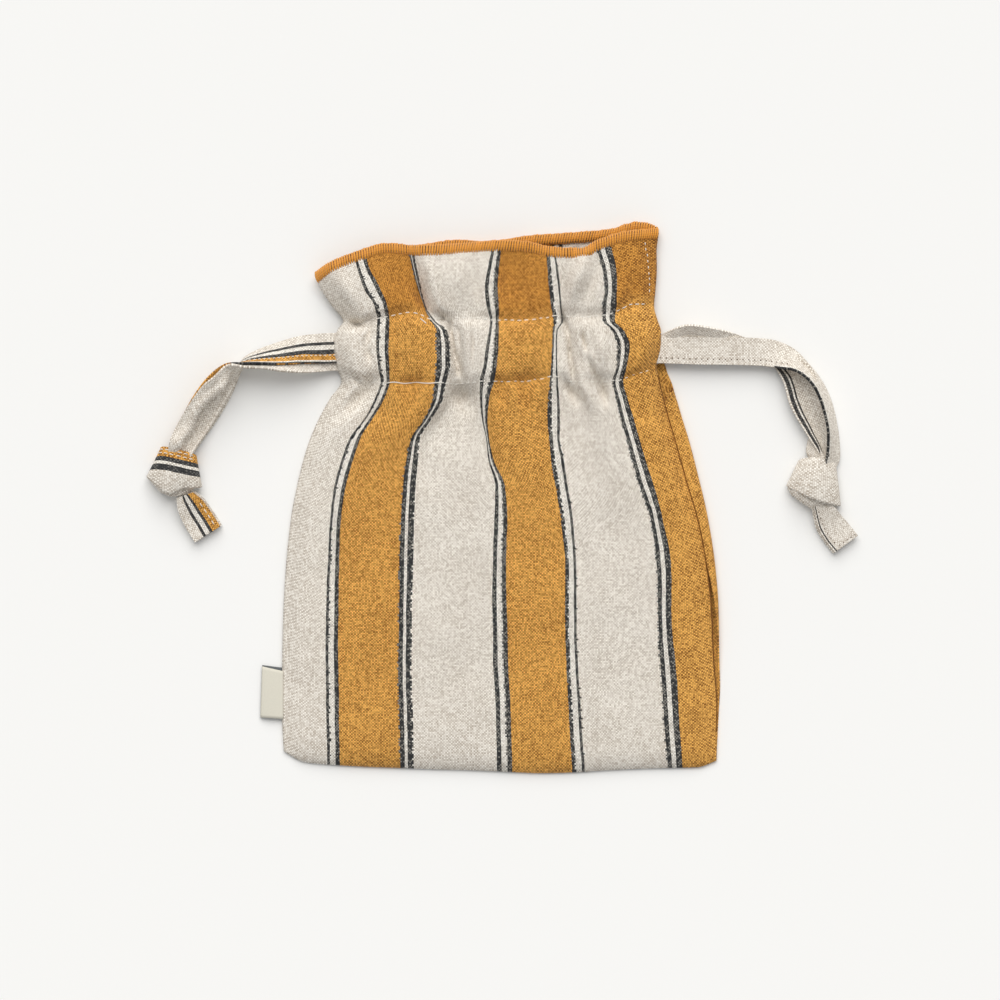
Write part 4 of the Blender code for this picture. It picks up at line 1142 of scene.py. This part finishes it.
def build_edging(name, node, place, ends, scale, gap_shade_material, thread):
    """Overlocked edge: a padded core and the threads wrapped over it. The core's dark colour is
    painted shade, seen in the gaps between the threads.
    """
    half = EDGING_HEIGHT / 2
    at, right, up, out, distance = rim_frames(place, ends, scale, CORE_SPAN)
    angle = 2 * math.pi * np.arange(CORE_SIDES) / CORE_SIDES
    core = (
        at[:, None, :]
        + up[:, None, :] * (np.cos(angle) * (half - CORE_INSET[0]))[None, :, None]
        + out[:, None, :] * (np.sin(angle) * (EDGING_HALF - CORE_INSET[1]))[None, :, None]
    )
    faces = tube_faces(len(at), CORE_SIDES)
    texture = np.stack((np.tile(angle, len(at)), np.repeat(distance, CORE_SIDES)), axis=1)
    core_piece = mesh_object(name + "_core", core.reshape(-1, 3), faces, texture)
    keep(core_piece, gap_shade_material, node)

    # wrapped threads, slightly aslant, fuller in the middle than at the borders
    at, right, up, out, distance = rim_frames(place, ends, scale, WRAP_SPAN)
    rng = np.random.default_rng(7)
    turn = 2 * math.pi * (np.arange(WRAP_STOPS) / (WRAP_STOPS - 1))
    lean = np.cos(turn) * np.sign(np.sin(turn) + 1e-6) * 0.5
    swell = WRAP_RADIUS * (1 + np.abs(np.sin(turn)) ** 1.4)
    paths, radii = [], []
    for k in range(len(at)):
        slant, reach, depth = (rng.normal(*size) for size in (WRAP_SLANT, WRAP_REACH, WRAP_DEPTH))
        paths.append(
            at[k]
            + up[k] * (np.cos(turn) * reach)[:, None]
            + out[k] * (np.sin(turn) * depth)[:, None]
            + right[k] * (lean * slant)[:, None]
        )
        radii.append(swell * rng.uniform(*WRAP_SPREAD))
    wraps = keep(tubes(name + "_wraps", paths, radii, sides=5), thread)
    wraps.parent = core_piece
    return core_piece, wraps


def build_label(materials):
    """Blank folded label: cream face, dark back layer."""
    rows, columns = 17, 15
    s = np.tile(np.linspace(0.0, 1.0, columns), rows)
    t = np.repeat(np.linspace(0.0, 1.0, rows), columns)
    texture = np.stack((s * LABEL_FLAT[0], t * LABEL_FLAT[1]), axis=1)
    pieces = []
    for (name, node, z, bulge, *upper), material in zip(LABEL_LAYERS, materials):
        inner, outer = (
            low + (np.array(high) - low) * t[:, None] for low, high in zip(LABEL_LOWER, upper)
        )
        flat = inner + (outer - inner) * s[:, None]
        height = z + bulge * np.sin(math.pi * t) * s - (z - 1.0) * s**6
        places = np.column_stack((flat, height))
        piece = mesh_object(name, places, grid_faces(rows, columns, turned=True), texture)
        pieces.append(keep(thicken(piece, LABEL_THICKNESS), material, node))
    return pieces


# Stitches

def dashes(frames, ends, dash, rng, shown=None):
    """Paths of stitches from end to end of a sewn line on the front cloth.

    frames gives places, sideways directions and outward normals at stops along the line, dash is
    a stitch's length and the gap after it, and shown says at which stops a stitch is seen.
    """
    length, gap = dash
    lift = CLOTH / 2 + THREAD_LIFT
    fine = np.linspace(*ends, 1200)
    run = distances(frames(fine)[0])
    t = np.linspace(0.0, 1.0, 7)
    arch = lift * np.sin(math.pi * t) ** 0.6 - 0.20 * (1 - np.sin(math.pi * t))
    start = rng.uniform(0.0, 0.6)
    paths = []
    while start + length < run[-1]:
        own = length * rng.uniform(*LENGTH_SPREAD)
        stops = np.interp(start + own * t, run, fine)
        at, side, out = frames(stops)
        path = at + out * arch[:, None] + side * rng.normal(0.0, DASH_DRIFT)
        if shown is None or shown(stops[3]):
            paths.append(path)
        start += own + gap * rng.uniform(*GAP_SPREAD)
    return paths


def course_frames(course):
    """Frames of a line that is sewn along a course of the front cloth."""
    def frames(u):
        at, right, up, out = frame_on(front_point, u, np.full_like(u, course))
        return at, up, out
    return frames


def seam_frames(course):
    """Frames of the line that is sewn up the frill beside the side seam."""
    at, right, up, out = frame_on(front_point, np.interp(course, *SEAM_WARP), course)
    return at, right, out


def build_neck_stitches(material):
    """Two rows of topstitching round the neck and the side seam's topstitch in the frill."""
    rng = np.random.default_rng(11)
    surface = CLOTH / 2 + THREAD_LIFT
    lower_line = course_frames(LOWER_STITCH)
    away = lambda u: not LONG_THREAD[0] - 1.0 < u < LONG_THREAD[1] + 1.0
    paths = dashes(lower_line, (3.0, 171.0), NECK_DASH, rng, away)
    paths += dashes(course_frames(UPPER_STITCH), (3.0, 171.5), NECK_DASH, rng)
    paths += dashes(seam_frames, (UPPER_STITCH + 4.0, RIM_COURSE - 4.0), SEAM_DASH, rng)

    # one long thread crosses the mustard at the left, and cut ends stand off the upper line
    u = np.linspace(*LONG_THREAD, 40)
    at, side, out = lower_line(u)
    sway = 0.25 * np.sin((u - LONG_THREAD[0]) * 0.5)
    paths.append(at + out * (surface + 0.12) + side * sway[:, None])
    for u0, course0, u1, course1 in LOOSE_ENDS:
        ends = np.linspace(u0, u1, 9), np.linspace(course0, course1, 9)
        at, right, up, out = frame_on(front_point, *ends)
        paths.append(at + out * (surface + 0.5 * np.linspace(0.2, 1.0, 9)[:, None]))
    piece = tubes("neck_stitches", paths, [NECK_THREAD] * len(paths))
    return keep(piece, material)


def build_seam_shadow(material):
    """Painted shadow line in the ditch of the side seam, where the front cloth meets the rolled
    edge of the back: a thin dark tube.
    """
    count, spacing = 160, 4
    course = np.linspace(LOWER_STITCH - 3.0, HEM_COURSE + 12.0, count)
    at, right, up, out = frame_on(front_point, np.full_like(course, CLOTH_WIDTH - 0.3), course)
    uneven = np.random.default_rng(23).uniform(0.0, 1.0, count // spacing)
    radius = 0.2 + 0.1 * np.interp(np.arange(count), np.arange(0, count, spacing), uneven)
    return keep(tubes("seam_shadow_line", [at + out * 0.3], [radius]), material)


def tape_stitches(frames, fine, run, start, end, dash, rng):
    """Paths of stitches on a tape between two distances along it. frames gives places and outward
    normals at stops, and fine are the stops at the distances run."""
    length, gap = dash
    share = np.linspace(0.0, 1.0, 5)
    arch = (TAPE / 2 + TAPE_THREAD_LIFT) * np.sin(math.pi * share) ** 0.5 + 0.15
    paths = []
    while start + length < end:
        at, out = frames(np.interp(start + length * share, run, fine))
        paths.append(at + out * arch[:, None])
        start += length * rng.uniform(*TAPE_SPREAD) + gap
    return paths


# Tapes

def tape_line(rows, s, rest):
    """Rows' values at places s. With rest, half a stack's thickness, the third is the clearance of
    the lowest edge and becomes the height of the centre."""
    values = flowing(rows, s)
    if rest:
        bank = np.radians(values[:, 4])
        edge = 0.5 * values[:, 5] * np.hypot(np.sin(bank), 0.15)
        values[:, 2] += edge + rest * np.hypot(np.cos(bank), 0.15)
    return values


def tape_frame(rows, s, rest):
    """Centre, width direction, upward normal and width of a tape at places s along its rows."""
    values = tape_line(rows, s, rest)
    step = 0.004
    ahead = tape_line(rows, s + step, rest)[:, :3] - tape_line(rows, s - step, rest)[:, :3]
    turn = np.radians(values[:, 3])
    bank = np.radians(values[:, 4])
    level = np.cos(bank)
    across = np.stack((np.cos(turn) * level, np.sin(turn) * level, np.sin(bank)), axis=1)
    return values[:, :3], across, unit(np.cross(across, ahead)), values[:, 5]


class Tape:
    """Folded tape along its rows. layer and slide move it up and sideways from their line, hollow
    shapes its cross-section, and up says to which side its normal points."""

    def __init__(self, rows, up, layer=0.0, slide=(0.0,), hollow=None,
                 flat_width=LEFT_TAPE_WIDTH, rest=0.0, mirrored=False):
        self.rows = rows
        self.up = up
        self.layer = layer
        self.slide = slide
        self.hollow = hollow
        self.flat_width = flat_width
        self.rest = rest
        self.mirrored = mirrored
        self.fine = np.linspace(0.0, 1.0, 400)
        self.run = distances(tape_frame(rows, self.fine, rest)[0])

    def point(self, share, s):
        """Place on the tape's middle layer, at a share of its width and of its rows."""
        centre, across, normal, width = tape_frame(self.rows, s, self.rest)
        shift = np.interp(s, np.linspace(0, 1, len(self.slide)), self.slide)
        dip = np.zeros_like(s) if self.hollow is None else self.hollow(share, s)
        sideways = ((share - 0.5) * width + shift)[:, None]
        return centre + across * sideways + normal * ((self.layer + dip) * self.up)[:, None]

    def build(self, name, node, material, along=150, across=17, thickness=TAPE):
        shares = 0.5 - 0.5 * np.cos(np.linspace(0.0, math.pi, across))
        a = np.tile(shares, along)
        s = np.repeat(np.linspace(0.0, 1.0, along), across)
        side = 1.0 - a if self.mirrored else a
        texture = np.stack((side * self.flat_width, np.interp(s, self.fine, self.run)), axis=1)
        faces = grid_faces(along, across, turned=self.up < 0)
        piece = mesh_object(name, self.point(a, s), faces, texture)
        return keep(thicken(piece, thickness), material, node)

    def stitches(self, share, ends, dash, rng):
        """Stitch paths along the tape at a share of its width."""
        def frames(s):
            normal = tape_frame(self.rows, s, self.rest)[2]
            return self.point(np.full_like(s, share), s), normal * self.up

        low, high = np.interp(ends, self.fine, self.run)
        return tape_stitches(frames, self.fine, self.run, low, high, dash, rng)

    def declare(self):
        s = np.linspace(0.0, 1.0, 60)
        line = self.point(np.full_like(s, 0.5), s) * MM


class Band:
    """Curved band of tape over a knot, between an upper and a lower edge line.

    Each edge is a list of x, y, z places from the band's left to its right, and bulge lifts the
    middle. The band's ends run down beside the knot.
    """

    def __init__(self, upper, lower, bulge):
        self.upper = np.asarray(upper, dtype=float)
        self.lower = np.asarray(lower, dtype=float)
        self.bulge = bulge

    def reach(self, s):
        """Distance from the upper edge to the lower at s along the band."""
        return np.linalg.norm(flowing(self.lower, s) - flowing(self.upper, s), axis=1)

    def point(self, s, t):
        """Place at s along the band and t down from its upper edge."""
        high = flowing(self.upper, s)
        at = high + (flowing(self.lower, s) - high) * t[:, None]
        ends = np.sin(math.pi * np.clip(s, 0, 1)) ** 0.5
        at[:, 2] += self.bulge * np.sin(math.pi * t) ** 0.8 * ends
        return at

    def build(self, name, material, along=49, down=21):
        s = np.tile(np.linspace(0.0, 1.0, along), down)
        t = np.repeat(np.linspace(0.0, 1.0, down), along)
        texture = np.stack((t * self.reach(s), s * BAND_LENGTH), axis=1)
        faces = grid_faces(down, along, turned=True)
        return keep(thicken(mesh_object(name, self.point(s, t), faces, texture), TAPE), material)

    def stitches(self, below, ends, dash, rng):
        """Stitch paths along the band, a distance below its upper edge."""
        def frames(s):
            t = below / self.reach(s)
            ahead = unit(self.point(s + 0.01, t) - self.point(s - 0.01, t))
            down = unit(self.point(s, t + 0.02) - self.point(s, t - 0.02))
            return self.point(s, t), unit(np.cross(down, ahead))

        fine = np.linspace(*ends, 200)
        run = distances(self.point(fine, below / self.reach(fine)))
        return tape_stitches(frames, fine, run, 0.2, run[-1], dash, rng)


def neck_loop(front_run, back_run, turn_sign):
    """Rows of a drawstring in the neck: front run, half turn in height, back run."""
    rows = list(front_run)
    x, y, z, width = front_run[-1]
    for step in range(1, LOOP_STEPS):
        angle = math.pi * step / LOOP_STEPS
        out = turn_sign * LOOP_RADIUS * (math.sin(angle) + LOOP_EASE)
        rows.append((x + out, y, z - LOOP_RADIUS * (1 - math.cos(angle)), width))
    rows.extend(back_run)
    return [(x, y, z, 90.0, 0.0, width) for x, y, z, width in rows]


# Knots

def knot_core(name, size, outline, material, node):
    """Flat-bottomed core of a knot, from a sphere."""
    bpy.ops.mesh.primitive_uv_sphere_add(segments=64, ring_count=32, radius=1.0)
    piece = bpy.context.object
    piece.name = name
    mesh = piece.data
    mesh.name = name
    ball = np.empty(len(mesh.vertices) * 3)
    mesh.vertices.foreach_get("co", ball)
    ball = ball.reshape(-1, 3)
    heading = np.arctan2(ball[:, 1], ball[:, 0])
    radius = table_lines(outline, np.degrees(heading))[0]
    level = radius * np.hypot(ball[:, 0], ball[:, 1]) ** CORE_ROUND[0]
    dome = np.sign(ball[:, 2]) * np.abs(ball[:, 2]) ** CORE_ROUND[1]
    z = np.maximum(size["height"] * (CORE_BELLY + CORE_DOME * dome), 0.05)
    x = size["x"] + level * np.cos(heading)
    y = size["y"] + level * np.sin(heading)
    places = np.stack((x, y, z), axis=1)
    mesh.vertices.foreach_set("co", (places * MM).ravel())
    for layer in list(mesh.uv_layers):
        mesh.uv_layers.remove(layer)
    lay_texture(mesh, places[:, :2])
    return keep(piece, material, node)


def build_left_tie(striped, plain, tail_linen, wrap_linen, thread):
    rows = [row[:6] for row in LEFT_TIE]
    slide = [row[6] for row in LEFT_TIE]

    def fold(share, s):
        """Ridge along the outer side of the plain strand once the pair has turned over, and the
        hollow beside it."""
        shown = smooth_step(s, *FOLD_BEGINS) * (1 - smooth_step(s, *FOLD_ENDS))
        wave = np.sin(2 * math.pi * (s - FOLD_WAVE[0]) / FOLD_WAVE[1])
        border = FOLD_BORDER + FOLD_SWAY * wave
        ridge = 1 - smooth_step(share, border + FOLD_EDGE[0], border + FOLD_EDGE[1])
        crown = np.exp(-(((share - border + FOLD_CROWN[0]) / FOLD_CROWN[1]) ** 2))
        lip = smooth_step(share, FOLD_LIP, 1.0)
        return -shown * (FOLD_DEPTHS[0] * ridge + FOLD_DEPTHS[1] * crown + FOLD_DEPTHS[2] * lip)

    upper = Tape(rows, 1, HALF_STEP, rest=HALF_STACK)
    lower = Tape(rows, 1, -HALF_STEP, slide, hollow=fold, rest=HALF_STACK)
    tail_up = Tape(LEFT_TAIL, -1, HALF_STEP, rest=HALF_STACK, mirrored=True)
    tail_down = Tape(LEFT_TAIL, -1, -HALF_STEP, (0.8,), rest=HALF_STACK)
    strand_upper = upper.build("left_strand_striped", "left_tie_upper", striped)
    strand_lower = lower.build("left_strand_plain", "left_tie_lower", plain, across=37)
    tail_upper = tail_up.build("left_tail_striped", "left_tail_upper", tail_linen, along=40)
    tail_lower = tail_down.build("left_tail_plain", "left_tail_lower", plain, along=40)
    rng = np.random.default_rng(3)
    paths = upper.stitches(0.262, (0.0, 0.46), (1.1, 0.8), rng)
    paths += tail_up.stitches(0.86, (0.3, 0.97), (2.2, 0.9), rng)
    knot = knot_core("left_knot_core", LEFT_KNOT, LEFT_KNOT_OUTLINE, plain, "left_knot")
    wrap = Band(*LEFT_WRAP)
    wrap_piece = wrap.build("left_knot_wrap", wrap_linen)
    under_piece = Band(*LEFT_UNDER).build("left_knot_under", plain)
    for below in (1.1, 2.5):
        paths += wrap.stitches(below, (0.2, 0.8), (2.0, 0.7), rng)
    stitches = keep(tubes("left_tie_stitches", paths, [TAPE_THREAD] * len(paths)), thread)
    upper.declare()
    lower.declare()


def build_right_tie(front_linen, back_linen, plain, tail_linen, hole_shade):
    def trough(share, s):
        """The inner strand rises to both its edges once it has turned the corner."""
        shown = smooth_step(s, *TROUGH_BEGINS) * (1 - smooth_step(s, *FOLD_ENDS))
        inner = TROUGH_RISES[0] * (1 - smooth_step(share, 0.0, TROUGH_SIDES[0]))
        return shown * (inner + TROUGH_RISES[1] * smooth_step(share, TROUGH_SIDES[1], 1.0))

    upper = Tape(RIGHT_UPPER_TIE, -1, flat_width=RIGHT_TAPE_WIDTH, rest=TAPE / 2)
    lower = Tape(RIGHT_LOWER_TIE, -1, hollow=trough, flat_width=RIGHT_TAPE_WIDTH, rest=TAPE / 2)
    tail_up = Tape(RIGHT_TAIL, -1, HALF_STEP, rest=HALF_STACK)
    tail_down = Tape(RIGHT_TAIL, -1, -HALF_STEP, (-0.8,), rest=HALF_STACK)
    strand_upper = upper.build("right_strand_front", "right_tie_upper", front_linen)
    strand_lower = lower.build("right_strand_back", "right_tie_lower", back_linen)
    tail_upper = tail_up.build("right_tail_front", "right_tail_upper", tail_linen, along=40)
    tail_lower = tail_down.build("right_tail_back", "right_tail_lower", plain, along=40)

    # the needle's holes show at the folded edge, across the tail's end and on the knot, as small
    # dark tubes of painted shade
    rng = np.random.default_rng(4)
    paths = upper.stitches(0.2, (0.0, 0.42), (0.35, 2.0), rng)
    paths += tail_up.stitches(0.2, (0.2, 0.92), HOLE_DASH, rng)
    for share in np.linspace(0.28, 0.92, 5):
        end_stitch = tail_up.point(np.array((share, share + 0.03)), np.full(2, 0.93))
        paths.append(end_stitch + np.array((0.0, 0.0, TAPE / 2 + 0.12)))
    knot = knot_core("right_knot_core", RIGHT_KNOT, RIGHT_KNOT_OUTLINE, plain, "right_knot")
    wrap = Band(*RIGHT_WRAP)
    wrap_piece = wrap.build("right_knot_wrap", plain)
    under_piece = Band(*RIGHT_UNDER).build("right_knot_under", plain)
    turn_piece = Band(*RIGHT_TURN).build("right_strand_turn", plain, along=21, down=9)
    low_edge = 0.9 * wrap.reach(np.array((0.5,)))[0]
    paths += wrap.stitches(low_edge, (0.3, 0.72), HOLE_DASH, rng)
    stitches = keep(tubes("right_tie_hole_shade", paths, [TAPE_THREAD] * len(paths)), hole_shade)
    upper.declare()
    lower.declare()


def build_hidden_drawstrings(material):
    """The parts of the two drawstrings that run inside the neck."""
    runs = (
        ("left_string_in_neck", "left_drawstring", LEFT_FRONT_RUN, LEFT_BACK_RUN, 1),
        ("right_string_in_neck", "right_drawstring", RIGHT_FRONT_RUN, RIGHT_BACK_RUN, -1),
    )
    for name, node, front_run, back_run, turn_sign in runs:
        rows = neck_loop(front_run, back_run, turn_sign)
        string = Tape(rows, 1, flat_width=NECK_TAPE_WIDTH)
        string.build(name, node, material, along=90, across=7, thickness=0.8)


def build_ties(thread):
    """Both ties with their knots and tails, and the drawstrings' hidden runs."""
    left, right = LEFT_TAPE_WIDTH, RIGHT_TAPE_WIDTH
    striped = linen(
        "striped_tape_linen", LEFT_STRIPES, left, 3.0, TAPE_FLECKS, LEFT_TURN_RUN, LEFT_SHIFT,
    )
    tail_linen = linen("left_tail_linen", LEFT_TAIL_STRIPES, left, 6.0, TAPE_FLECKS)
    wrap_linen = linen("left_wrap_linen", LEFT_WRAP_STRIPES, left, 5.0, TAPE_FLECKS)
    plain = linen("plain_tape_linen", UNDYED, left, 9.0)
    build_left_tie(striped, plain, tail_linen, wrap_linen, thread)

    right_front = linen(
        "right_tape_linen", RIGHT_FRONT_STRIPES, right, 12.0, CLOTH_FLECKS, RIGHT_TURN_RUN,
        RIGHT_SHIFT,
    )
    right_back = linen("right_back_tape_linen", RIGHT_BACK_STRIPES, right, 14.0, TAPE_FLECKS)
    right_tail = linen("right_tail_linen", RIGHT_TAIL_STRIPES, left, 19.0, TAPE_FLECKS)
    right_plain = linen("right_knot_linen", UNDYED, right, 17.0)
    hole_shade = thread_material("needle_hole_shade", HOLE_SHADE, 0.6, roughness=0.9, sheen=0.0)
    build_right_tie(right_front, right_back, right_plain, right_tail, hole_shade)
    build_hidden_drawstrings(plain)


def build_pouch(thread):
    """Both panels with their edgings, stitches and label."""
    deep_from = UPPER_STITCH - HEM_COURSE
    front_stops = stripe_stops(FRONT_GROUPS)
    front = build_front(linen("front_linen", front_stops, CLOTH_WIDTH, deep_from=deep_from))
    back = build_back(linen("back_linen", stripe_stops(BACK_GROUPS), CLOTH_WIDTH, seed=21.0))
    # the core's colour is painted shade in the gaps between the overlock's threads
    core = thread_material("overlock_gap_shade", OVERLOCK_GAP_SHADE, 0.6, roughness=0.9)
    wrap = thread_material("overlock_wrap", OVERLOCK, 0.62, roughness=0.5, sheen=0.35)
    front_ends, back_ends = (0.2, CLOTH_WIDTH - 0.2), (0.002, 0.998)
    front_trim = build_edging("front_rim", "front_edging", front_point, front_ends, 1.0, core, wrap)
    back_trim = build_edging("back_rim", "back_edging", back_point, back_ends, 0.005, core, wrap)
    cream = label_material("label_cream", LABEL_CREAM)
    label = build_label((cream, label_material("label_grey", LABEL_GREY)))
    stitches = build_neck_stitches(thread)
    # a dark tube paints the shadow in the side seam's ditch
    seam = build_seam_shadow(thread_material("seam_shadow_paint", SEAM_SHADOW, 0.5, roughness=0.9, sheen=0.0))


def main():
    build_camera()
    build_light()
    build_floor()
    thread = thread_material("natural_thread", STITCH, 0.72)
    build_ties(thread)
    build_pouch(thread)


main()
